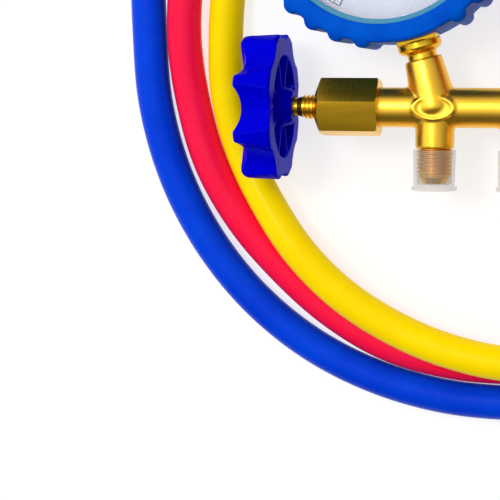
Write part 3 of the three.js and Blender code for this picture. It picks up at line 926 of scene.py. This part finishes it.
@dataclass
class Gauge:
    """A gauge with its stem, case, dial and rubber boot."""

    side: Side
    collar_start: float = 18.4
    collar_end: float = 21.4
    collar_radius: float = 6.95
    neck_radius: float = 4.6
    shank: float = 12.4
    case_radius: float = 34.6
    case_back: float = -10.7
    boot_radius: float = 40.0
    boot_back: float = -13.0
    boot_front: float = 16.8
    lip_radius: float = 34.3
    back_opening: float = 24.0
    ribs: int = 27
    rib_gap: float = 22.5
    rib_height: float = 1.9
    rib_half_width: float = 2.5
    dial_bottom: float = 8.0
    dial_top: float = 8.8
    dial_radius: float = 33.6
    lens_bottom: float = 12.4
    lens_thickness: float = 1.6
    bezel_lip: float = 14.3
    bezel_skirt: float = 6.5
    bezel_inner_radius: float = 32.8
    lens_radius: float = 34.4
    stem_start: float = 8.6
    stem_shoulder: float = 16.1
    stem_root: float = 4.7
    hub_radius: float = 3.2
    arbor_radius: float = 0.9
    blade_length: float = 24.0
    blade_tail: float = 9.0
    blade_half_width: float = 1.1
    figure_radius: float = 25.5
    print_lift: float = 0.04
    zero_angle: float = 110.0
    scale: Scale = field(init=False)

    def __post_init__(self) -> None:
        """Chooses the scale for the side."""
        if self.side is Side.LOW:
            self.scale = Scale(140, -135, ["30", "0", "20", "40", "60", "80", "100", "120"], "psi")
        else:
            self.scale = Scale(110, -140, ["0", "100", "200", "300", "400", "500"], "psi")

    def socket(self) -> Shell:
        """The turned stem with its collar and square shank, along Z from the bar's axis."""
        stem = turned([
            (0, self.stem_start),
            (self.stem_root, self.stem_start),
            (self.stem_root, self.stem_shoulder),
            (self.neck_radius, self.stem_shoulder, 0.2),
            (self.neck_radius, self.collar_start - 0.8, 0.5),
            (self.collar_radius - 0.8, self.collar_start, 0.3),
            (self.collar_radius, self.collar_start + 0.8, 0.4),
            (self.collar_radius, self.collar_end, 0.35),
            (0, self.collar_end),
        ], 80)
        top = LAY.stem_length - self.case_radius + 4
        length = top - self.collar_end + 0.5
        shank = block(self.shank, self.shank, length, 0.4)
        return gathered(stem, placed(shank, shift(0, 0, top - length / 2)))

    def boot(self) -> Shell:
        """The moulded boot, with ribs round its wall."""
        back, front, radius = self.boot_back, self.boot_front, self.boot_radius
        cup, clear_of_bezel = self.case_radius + 0.3, self.case_radius + 1.4
        rows: list[Row] = [
            (self.back_opening, back, 0.6),
            (radius, back, 1.6),
            *[(radius, back + 2 + (front - back - 4.8) * share / 10) for share in range(11)],
            (radius, front, 2.6),
            (self.lip_radius, front, 0.7),
            (self.lip_radius, front - 1.3, 0.2),
            (clear_of_bezel, front - 1.3),
            (clear_of_bezel, self.bezel_lip - self.bezel_skirt - 0.3),
            (cup, self.bezel_lip - self.bezel_skirt - 0.3),
            (cup, self.case_back - 0.3),
            (self.back_opening, self.case_back - 0.3, 0.4),
        ]
        shell = turned(rows, 648, 3)
        step = (360 - 2 * self.rib_gap) / (self.ribs - 1)
        for vert in shell.verts:
            reach = math.hypot(vert.co.x, vert.co.y)
            if reach < radius - 2.6:
                continue
            angle = math.degrees(math.atan2(vert.co.x, -vert.co.y)) % 360
            index = round((angle - self.rib_gap) / step)
            if not 0 <= index < self.ribs:
                continue
            off = math.radians(angle - self.rib_gap - index * step) * radius / self.rib_half_width
            swell = self._rib_swell(abs(off))
            if swell == 0.0:
                continue
            ends = min(vert.co.z - back - 0.4, front - 0.6 - vert.co.z) / 1.6
            grow = 1 + self.rib_height * swell * max(0.0, min(1.0, ends)) ** 0.5 / reach
            vert.co.x *= grow
            vert.co.y *= grow
        return shell

    @staticmethod
    def _rib_swell(off: float) -> float:
        """Height of a rib, 1 at its crest, with a hollow foot on each flank."""
        crown_end, foot_end = 0.85, 1.25
        if off >= foot_end:
            return 0.0
        if off < crown_end:
            return math.sqrt(max(0.0, 1 - off * off))
        return 0.5268 * (1 - (off - crown_end) / (foot_end - crown_end)) ** 2

    def bezel(self) -> Shell:
        """The rolled ring that holds the lens."""
        inner, outer, lip = self.case_radius + 0.3, self.case_radius + 1.1, self.bezel_lip
        return turned([
            (inner, lip - self.bezel_skirt, 0.2),
            (outer, lip - self.bezel_skirt, 0.2),
            (outer, lip + 0.9, 0.35),
            (self.bezel_inner_radius, lip + 0.9, 0.3),
            (self.bezel_inner_radius, lip, 0.2),
            (inner, lip),
        ], 160)

    def lens(self) -> Shell:
        """The clear lens."""
        low, high = self.lens_bottom, self.lens_bottom + self.lens_thickness
        radius = self.lens_radius
        return turned([(0, low), (radius, low, 0.2), (radius, high, 0.2), (0, high)], 160)

    def dial(self) -> Shell:
        """The dial plate."""
        return turned([
            (1.4, self.dial_bottom),
            (self.dial_radius, self.dial_bottom, 0.2),
            (self.dial_radius, self.dial_top, 0.2),
            (1.4, self.dial_top),
        ], 160)

    def pointer(self) -> Shell:
        """The pointer and its hub."""
        low, arbor_end = self.dial_top + 0.3, self.dial_top - 3.9
        hub = turned([
            (0, arbor_end), (self.arbor_radius, arbor_end), (self.arbor_radius, low),
            (self.hub_radius, low, 0.2), (self.hub_radius, low + 1.2, 0.4), (0, low + 1.2),
        ], 64)
        blade = bmesh.new()
        half, tail, reach, tip = self.blade_half_width, self.blade_tail, self.blade_length, 0.25
        corners = [(-half, -tail), (half, -tail), (half, 0), (tip, reach), (-tip, reach), (-half, 0)]
        face = blade.faces.new([blade.verts.new((x, y, low + 0.3)) for x, y in corners])
        grown = bmesh.ops.extrude_face_region(blade, geom=[face])
        tops = [part for part in grown["geom"] if isinstance(part, bmesh.types.BMVert)]
        bmesh.ops.translate(blade, vec=(0, 0, 0.6), verts=tops)
        bmesh.ops.recalc_face_normals(blade, faces=blade.faces)
        return placed(gathered(hub, edge_rounded(blade, 0.12)), turn(self.zero_angle, "Z"))

    def _tick(self, degrees: float, inner: float, outer: float, width: float) -> Shell:
        """A printed bar across the scale."""
        mesh = bmesh.new()
        bmesh.ops.create_grid(mesh, x_segments=1, y_segments=1, size=0.5)
        bmesh.ops.scale(mesh, vec=(width, outer - inner, 1), verts=mesh.verts)
        height = self.dial_top + self.print_lift
        return placed(mesh, turn(degrees, "Z"), shift(0, (inner + outer) / 2, height))

    def _arc(self, first: float, last: float, inner: float, outer: float) -> Shell:
        """A printed band along the scale."""
        mesh = bmesh.new()
        height = self.dial_top + self.print_lift
        ends = [mesh.verts.new((0, radius, height)) for radius in (inner, outer)]
        edge = mesh.edges.new(ends)
        steps = max(4, round(abs(last - first) / 2))
        placed(mesh, turn(first, "Z"))
        swept(mesh, ends + [edge], math.radians(last - first), steps)
        return mesh

    def _words(self, text: str, size: float, degrees: float, radius: float) -> Shell:
        """Printed figures, upright on the dial."""
        curve = bpy.data.curves.new("figures", "FONT")
        curve.body, curve.size = text, size
        curve.align_x = curve.align_y = "CENTER"
        curve.resolution_u = 3
        mesh = _collected(linked("figures", curve))
        angle = math.radians(degrees)
        height = self.dial_top + self.print_lift
        return placed(mesh, shift(-radius * math.sin(angle), radius * math.cos(angle), height))

    def print_black(self) -> Shell:
        """The outer scale, its ticks and its figures."""
        scale, parts = self.scale, []
        gaps = len(scale.figures) - 1
        parts.append(self._arc(scale.first, scale.last, 31.2, 31.5))
        parts.append(self._arc(scale.first, scale.last, 21.4, 21.6))
        for index in range(gaps * 10 + 1):
            long, middle = index % 10 == 0, index % 5 == 0
            inner = 28.4 if long else 29.4 if middle else 30.0
            width = 0.45 if long else 0.3 if middle else 0.18
            parts.append(self._tick(scale.angle(index / (gaps * 10)), inner, 31.3, width))
        for index, figure in enumerate(scale.figures):
            parts.append(self._words(figure, 3.6, scale.angle(index / gaps), self.figure_radius))
        parts.append(self._words(scale.unit, 3.4, 176, 13.0))
        parts.append(self._words("bar", 2.6, 200, self.figure_radius))
        return gathered(*parts)

    def print_colour(self, radius: float, size: float, count: int, start: int) -> Shell:
        """One of the inner coloured scales.

        Args:
            radius: Outer radius of its line.
            size: Height of its figures.
            count: Number of its figures.
            start: Its first figure.

        Returns:
            The printed scale.
        """
        scale = self.scale
        parts = [self._arc(scale.first, scale.last, radius - 0.25, radius)]
        for index in range(4 * (count - 1) + 1):
            long = index % 4 == 0
            inner = radius - (1.3 if long else 0.8)
            share = index / (4 * (count - 1))
            parts.append(self._tick(scale.angle(share), inner, radius - 0.2, 0.22 if long else 0.14))
            if long:
                value = start + 10 * (index // 4)
                parts.append(self._words(str(value), size, scale.angle(share), radius - 2.3))
        return gathered(*parts)

    def build(self) -> None:
        """Makes the gauge's pieces."""
        label, here = self.side.label, LAY.gauge(self.side)
        blue = self.side is Side.LOW
        steel, face = Carrier(ROOT, "steel"), Carrier(ROOT, "dial_face")
        finished(
            self.socket(), f"square_socket_{label}", LAY.boss(self.side, Z_TO_Y), TURNED_BRASS,
            Carrier(ROOT, "brass"), [f"gauge_socket_{label}"],
        )
        finished(
            self.boot(), f"ribbed_boot_{label}", here, BOOT_BLUE if blue else BOOT_RED,
            Carrier(ROOT, "boot_blue" if blue else "boot_red"), [f"gauge_boot_{label}"], 60,
        )
        # The steel bezel takes a painted highlight here: teal standing in for the lit edge of the boot's lip.
        finished(self.bezel(), f"rolled_bezel_{label}", here, RIM_HIGHLIGHT_TEAL, steel, [f"gauge_bezel_{label}"])
        finished(
            self.lens(), f"clear_lens_{label}", here, LENS_CLEAR,
            Carrier(ROOT, "lens_clear"), [f"gauge_lens_{label}"],
        )
        finished(self.dial(), f"printed_dial_{label}", here, DIAL_WHITE, face, [f"gauge_dial_{label}"])
        finished(self.print_black(), f"scale_black_{label}", here, PRINT_BLACK, face)
        finished(self.print_colour(19.8, 1.9, 8, -20), f"scale_cyan_{label}", here, PRINT_CYAN, face)
        finished(self.print_colour(15.6, 1.8, 7, -10), f"scale_pink_{label}", here, PRINT_PINK, face)
        finished(self.print_colour(11.6, 1.6, 5, 0), f"scale_green_{label}", here, PRINT_GREEN, face)
        finished(
            self.pointer(), f"needle_{label}", here, POINTER_RED,
            Carrier(f"{label}_pointer", "pointer_red"), [f"gauge_pointer_{label}"],
        )
        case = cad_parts[f"gauge_case_{label}"]
        case.data.materials.clear()
        case.data.materials.append(CASE_PAINT.material())


# Caps and hook


@dataclass
class PortCap:
    """A clear push-on cap with a flange at its closed end."""

    place: Place
    mouth: float = 13.2
    inner_radius: float = 5.7
    outer_radius: float = 6.75
    inner_floor: float = 24.2
    end: float = 26.1
    flange_radius: float = 7.25
    flange: float = 1.3
    draft: float = 0.25

    def build(self) -> None:
        """Makes the cap."""
        name = self.place.name.lower()
        shell = turned([
            (0, self.inner_floor),
            (self.inner_radius - self.draft, self.inner_floor, 0.6),
            (self.inner_radius, self.mouth, 0.2),
            (self.outer_radius, self.mouth, 0.3),
            (self.outer_radius - self.draft, self.end - self.flange, 0.3),
            (self.flange_radius, self.end - self.flange, 0.3),
            (self.flange_radius, self.end, 0.35),
            (0, self.end),
        ], 96)
        where = LAY.on_bar(shift(self.place.value * LAY.port_pitch), Z_TO_MINUS_Y)
        finished(
            shell, f"clear_cap_{name}", where, CAP_CLEAR,
            Carrier(f"cap_{name}", "cap_clear"), [f"port_cap_{name}"],
        )


@dataclass
class WireHook:
    """The wire hook that swivels in the centre boss."""

    wire: float = 1.5
    post_start: float = 7.6
    collar_bottom: float = 12.9
    collar: float = 1.6
    collar_radius: float = 3.4
    neck: float = 2.2
    loop_radius: float = 6.2
    loop_start: float = -90.0
    loop_end: float = 150.0

    def build(self) -> None:
        """Makes the hook."""
        top = self.collar_bottom + self.collar
        post = turned([
            (0, self.post_start),
            (self.wire, self.post_start, 0.3),
            (self.wire, self.collar_bottom),
            (self.collar_radius, self.collar_bottom, 0.3),
            (self.collar_radius, top, 0.4),
            (self.wire, top, 0.3),
            (self.wire, top + self.neck),
            (0, top + self.neck),
        ], 48)
        placed(post, Z_TO_Y)
        centre = Vector((0, top + self.neck + self.loop_radius - self.wire / 2, 0))
        wire = bmesh.new()
        bmesh.ops.create_circle(wire, cap_ends=True, segments=24, radius=self.wire)
        placed(wire, turn(self.loop_start, "Z"), shift(self.loop_radius), turn(90, "X"))
        swept(wire, wire.faces[:], math.radians(self.loop_end - self.loop_start), 60)
        bmesh.ops.recalc_face_normals(wire, faces=wire.faces)
        knob = bmesh.new()
        bmesh.ops.create_uvsphere(knob, u_segments=24, v_segments=16, radius=self.wire)
        placed(knob, turn(self.loop_end, "Z"), shift(self.loop_radius))
        hook = gathered(post, placed(gathered(wire, knob), Matrix.Translation(centre)))
        finished(
            hook, "wire_hook", LAY.on_bar(), BRIGHT_STEEL, Carrier("hook", "steel"), ["hanging_hook"]
        )


# Hoses


BLUE_ROUTE: list[Row] = [
    (152, 130, 8), (164, 123.6, 6), (176, 119.6, 6), (188, 119.1, 6), (200, 118.9, 6), (212, 118.7, 6),
    (224, 118.5, 6), (236, 118, 6), (248, 117.1, 6), (260, 116.3, 6), (272, 115.9, 6), (284, 117.4, 6),
    (296, 121, 6), (308, 125.5, 6), (320, 129.5, 6), (332, 133.5, 6), (344, 142, 6), (356, 153, 6),
    (368, 160.5, 6), (380, 166, 6), (392, 170.5, 6), (404, 174.5, 6), (416, 177.5, 6), (428, 179.5, 6),
    (440, 180.5, 6), (452, 181, 6), (464, 180, 6), (476, 177, 6), (488, 171.5, 6), (500, 164, 8),
]
RED_ROUTE: list[Row] = [
    (80, 119.8, 8), (92, 118.6, 6), (104, 119, 6), (116, 120.4, 6), (128, 121, 6), (140, 118.8, 6),
    (152, 113.5, 6), (164, 109, 7.6), (176, 107.2, 7.4), (188, 106, 6), (200, 105.6, 6),
    (212, 104.5, 6), (224, 103.5, 6), (236, 104, 6), (248, 104.7, 6), (260, 104, 6), (272, 103.5, 6),
    (284, 104.9, 6), (296, 108.2, 6), (308, 112, 6), (320, 115.7, 6), (332, 119.5, 6), (344, 128.3, 6),
    (356, 139, 6), (368, 146.5, 6), (380, 152, 6), (392, 156.5, 6), (404, 160.5, 6), (416, 163.4, 6),
    (428, 165, 6), (440, 165.6, 6), (452, 164.5, 6), (464, 160.5, 6), (474, 154.5, 8),
]
YELLOW_ROUTE: list[Row] = [
    (12, 105, 8), (22, 108.3, 6), (33, 113.6, 6), (44, 116.3, 6), (56, 113, 6), (68, 108.3, 6),
    (80, 105.6, 6), (92, 105.5, 6), (104, 106.3, 6), (116, 107.8, 6), (128, 108.4, 6), (140, 106.1, 6),
    (152, 100.3, 6), (164, 94.9, 6), (176, 93.2, 6), (188, 93.6, 6), (200, 93.5, 6.6), (212, 92.8, 10.2),
    (224, 93.6, 13.1), (236, 94.8, 14.4), (248, 96, 15.1), (260, 97.5, 16.5), (272, 99.2, 17.7),
    (284, 99.6, 17), (296, 98.8, 14), (308, 99.2, 9.4), (320, 101.5, 6.6), (332, 105.3, 6),
    (344, 114.3, 6), (356, 125, 6), (368, 132.5, 6), (380, 137.7, 6), (392, 142, 6), (404, 146, 6),
    (416, 148.6, 6), (428, 149.2, 6), (440, 146.5, 6), (450, 141.5, 8),
]


@dataclass
class Route:
    """A hose's centreline, as a smooth curve through points that go round a spiral."""

    rows: Sequence[Row]
    centre_x: float = -5.5
    centre_y: float = 14.85
    straight_end: float = 18.0
    samples: int = 10

    def _corners(self) -> list[Vector]:
        """The points that the curve goes through, with a straight run at each end."""
        spiral = [
            Vector((
                self.centre_x + radius * math.cos(math.radians(degrees)),
                LAY.bar_y + self.centre_y + radius * math.sin(math.radians(degrees)),
                height,
            ))
            for degrees, radius, height in self.rows
        ]
        return [
            *reversed(self._run(spiral[0], spiral[1])), *spiral, *self._run(spiral[-1], spiral[-2])
        ]

    def _run(self, end: Vector, neighbour: Vector) -> list[Vector]:
        """Two points past an end, away from its neighbour and level."""
        away = end - neighbour
        away.z = 0
        away.normalize()
        return [end + away * (share * self.straight_end) for share in (0.5, 1.0)]

    def line(self) -> list[Vector]:
        """The centreline's points in metres."""
        corners = self._corners()
        before = corners[0] * 2 - corners[1]
        after = corners[-1] * 2 - corners[-2]
        ring = [before, *corners, after]
        line: list[Vector] = []
        for index in range(1, len(ring) - 2):
            for step in range(self.samples):
                line.append(self._between(ring[index - 1:index + 3], step / self.samples))
        line.append(corners[-1])
        return [point * MILLIMETRE for point in line]

    @staticmethod
    def _between(four: Sequence[Vector], share: float) -> Vector:
        """A point between the middle two of four points."""
        a, b, c, d = four
        first, middle, last = ((b - a).length ** 0.5, (c - b).length ** 0.5, (d - c).length ** 0.5)
        leave = ((b - a) / first - (c - a) / (first + middle) + (c - b) / middle) * middle
        arrive = ((c - b) / middle - (d - b) / (middle + last) + (d - c) / last) * middle
        square, cube = share ** 2, share ** 3
        return (
            b + leave * share + (c * 3 - b * 3 - leave * 2 - arrive) * square
            + (b * 2 - c * 2 + leave + arrive) * cube
        )


@dataclass
class Hose:
    """A charging hose with a crimped ferrule and a knurled swivel nut at each end."""

    colour: str
    route: Route
    look: Finish
    radius: float = 5.85
    length: float = 0.9
    insert: float = 14.0
    ferrule_wall: float = 1.0
    shoulder: float = 4.0
    neck_radius: float = 3.7
    neck: float = 5.0
    flare_radius: float = 4.9
    nut_radius: float = 7.8
    nut_length: float = 15.0
    mouth_radius: float = 5.6
    knurls: int = 36
    knurl_depth: float = 0.4
    knurl_pitch: float = 1.45
    crimps: int = 4
    crimp_pitch: float = 3.0
    crimp_depth: float = 0.45

    def tube(self, line: Sequence[Vector]) -> bpy.types.Object:
        """The hose as a curve along its centreline."""
        name = f"charging_hose_{self.colour}"
        curve = bpy.data.curves.new(name, "CURVE")
        curve.dimensions = "3D"
        spline = curve.splines.new("POLY")
        spline.points.add(len(line) - 1)
        for point, spot in zip(spline.points, line):
            point.co = (*spot, 1.0)
        spline.use_smooth = True
        curve.bevel_depth = self.radius * MILLIMETRE
        curve.bevel_resolution = 6
        curve.use_fill_caps = True
        curve.materials.append(self.look.material())
        hose = linked(name, curve)
        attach(hose, ROOT)
        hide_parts(f"hose_{self.colour}")
        return hose

    def ferrule(self) -> Shell:
        """The crimped ferrule and the barb's neck, from the hose's end along Z."""
        inner = self.radius + 0.15
        outer = self.radius + 0.3 + self.ferrule_wall
        rows: list[Row] = [(0, 0.3), (inner, 0.3), (inner, -self.insert), (outer, -self.insert, 0.4)]
        pressed = outer - self.crimp_depth
        for crimp in range(self.crimps):
            start = -self.insert + 2.2 + crimp * self.crimp_pitch
            rows += [
                (outer, start, 0.2), (pressed, start + 0.5, 0.2),
                (pressed, start + 1.3, 0.2), (outer, start + 1.8, 0.2),
            ]
        neck_end = self.shoulder + self.neck
        rows += [
            (outer, self.shoulder - 1, 0.3),
            (outer - 1, self.shoulder, 0.3),
            (self.neck_radius, self.shoulder, 0.2),
            (self.neck_radius, neck_end),
            (self.flare_radius, neck_end + 0.8, 0.2),
            (self.flare_radius - 1, neck_end + 1.6, 0.2),
            (0, neck_end + 1.6),
        ]
        return turned(rows, 72, 3)

    def nut(self) -> Shell:
        """The knurled nut, from the hose's end along Z."""
        back = self.shoulder + 0.3
        front = back + self.nut_length
        floor = self.shoulder + self.neck - 0.3
        bore, radius = self.neck_radius + 0.3, self.nut_radius
        first, last = back + 1.8, front - 3.4
        rows: list[Row] = [(bore, back, 0.2), (radius, back, 0.8)]
        rows += [(radius, first + (last - first) * step / 20) for step in range(21)]
        rows += [
            (radius - 0.9, last + 0.7, 0.2), (radius - 0.9, front, 0.5), (self.mouth_radius, front, 0.3),
            (self.mouth_radius, floor), (bore, floor),
        ]
        shell = turned(rows, 6 * self.knurls, 3)
        for vert in shell.verts:
            reach = math.hypot(vert.co.x, vert.co.y)
            if reach < radius - 0.01 or not first - 0.01 <= vert.co.z <= last + 0.01:
                continue
            around = self.knurls * math.atan2(vert.co.y, vert.co.x) / (2 * math.pi)
            rise = (vert.co.z - first) / self.knurl_pitch
            dip = max(self._groove(around + rise), self._groove(around - rise))
            shrink = 1 - self.knurl_depth * dip / reach
            vert.co.x *= shrink
            vert.co.y *= shrink
        return shell

    @staticmethod
    def _groove(count: float) -> float:
        """Depth of a knurling groove, 1 at its middle."""
        off = abs(count - round(count))
        return max(0.0, 1 - off / 0.26)

    def build(self) -> None:
        line = self.route.line()
        hose = self.tube(line)
        for end, spot, inside in (("a", line[0], line[1]), ("b", line[-1], line[-2])):
            facing = (spot - inside).to_track_quat("Z", "Y").to_matrix().to_4x4()
            where = Matrix.Translation(spot) @ facing
            brass = Carrier(ROOT, "brass")
            finished(
                self.ferrule(), f"crimped_ferrule_{self.colour}_{end}", where, TURNED_BRASS, brass,
                [f"ferrule_{self.colour}_{end}"],
            )
            finished(
                self.nut(), f"knurled_nut_{self.colour}_{end}", where, TURNED_BRASS, brass,
                [f"nut_{self.colour}_{end}"], 28,
            )


# The studio


@dataclass
class Studio:
    """The floor, the lights and the camera."""

    camera_at: tuple[float, float, float] = (0.0349, 0.0236, 0.5305)
    camera_turn: tuple[float, float, float] = (-12.1, 13.33, -1.21)
    focal_pixels: float = 1617.3
    frame_pixels: float = 500.0
    sensor: float = 36.0
    sky_along: tuple[tuple[float, float], ...] = (
        (0.0, 0.1), (0.2, 0.12), (0.27, 0.4), (0.36, 0.85), (0.6, 1.0), (0.9, 0.9), (0.985, 0.06),
    )
    sky_across: tuple[tuple[float, float], ...] = ((0.0, 0.9), (0.55, 1.05), (0.8, 0.75), (1.0, 0.25))
    sky_strength: float = 1.0
    floor_half_size: float = 3.0
    floor_drop: float = 0.0002

    def floor(self) -> None:
        """Lays the pale floor."""
        mesh = bmesh.new()
        bmesh.ops.create_grid(mesh, x_segments=1, y_segments=1, size=self.floor_half_size)
        data = bpy.data.meshes.new("studio_floor")
        mesh.to_mesh(data)
        mesh.free()
        data.materials.append(FLOOR.material())
        floor = linked("studio_floor", data)
        floor.location.z = -self.floor_drop

    def sky(self) -> None:
        """Lights the set softly from overhead, darker below the ports and to the right."""
        world = bpy.data.worlds.new("studio_sky")
        bpy.context.scene.world = world
        world.use_nodes = True
        tree = world.node_tree
        ground = tree.nodes["Background"]
        place = tree.nodes.new("ShaderNodeTexCoord")
        parts = tree.nodes.new("ShaderNodeSeparateXYZ")
        tree.links.new(place.outputs["Generated"], parts.inputs["Vector"])
        product = tree.nodes.new("ShaderNodeMath")
        product.operation = "MULTIPLY"
        for index, (axis, levels) in enumerate((("X", self.sky_across), ("Y", self.sky_along))):
            spread = tree.nodes.new("ShaderNodeMapRange")
            spread.inputs["From Min"].default_value = -1.0
            ramp = tree.nodes.new("ShaderNodeValToRGB")
            tree.links.new(parts.outputs[axis], spread.inputs["Value"])
            tree.links.new(spread.outputs["Result"], ramp.inputs["Fac"])
            tree.links.new(ramp.outputs["Color"], product.inputs[index])
            stops = ramp.color_ramp.elements
            for number, (spot, level) in enumerate(levels):
                stop = stops[number] if number < 2 else stops.new(spot)
                stop.position = spot
                stop.color = (level, level, level, 1.0)
        tree.links.new(product.outputs["Value"], ground.inputs["Color"])
        ground.inputs["Strength"].default_value = self.sky_strength

    def lamp(self, name: str, spot: Row, size: float, power: float) -> None:
        """Hangs a square soft light that faces the set.

        Args:
            name: The light's name.
            spot: Where it hangs, in metres.
            size: Its side, in metres.
            power: Its power in watts.
        """
        light = bpy.data.lights.new(name, "AREA")
        light.shape, light.size, light.energy = "SQUARE", size, power
        lamp = linked(name, light)
        lamp.location = spot
        lamp.rotation_euler = Vector(spot).to_track_quat("Z", "Y").to_euler()

    def camera(self) -> None:
        """Sets the camera above the set, at the photograph's angle."""
        data = bpy.data.cameras.new("camera")
        data.sensor_width = self.sensor
        data.lens = self.focal_pixels * self.sensor / self.frame_pixels
        camera = linked("camera", data)
        camera.location = self.camera_at
        camera.rotation_euler = Euler([math.radians(value) for value in self.camera_turn], "XYZ")
        bpy.context.scene.camera = camera

    def build(self) -> None:
        """Sets up the studio."""
        self.camera()
        self.floor()
        self.sky()
        self.lamp("key_light", (-0.35, 0.3, 1.1), 0.3, 5.0)
        self.lamp("side_light", (-0.9, 0.25, 0.7), 0.4, 1.2)
        bpy.context.scene.view_settings.view_transform = "Standard"


def main() -> None:
    """Builds the studio and every piece of the set."""
    logging.basicConfig(level=logging.INFO, format="%(message)s")
    Studio().build()
    for colour, rows, look in (
        ("blue", BLUE_ROUTE, HOSE_BLUE),
        ("red", RED_ROUTE, HOSE_RED),
        ("yellow", YELLOW_ROUTE, HOSE_YELLOW),
    ):
        Hose(colour, Route(rows), look).build()
    ForgedBody().build()
    for side in Side:
        Valve(side).build()
        Gauge(side).build()
    for place in Place:
        PortCap(place).build()
    WireHook().build()


if __name__ == "__main__":
    main()
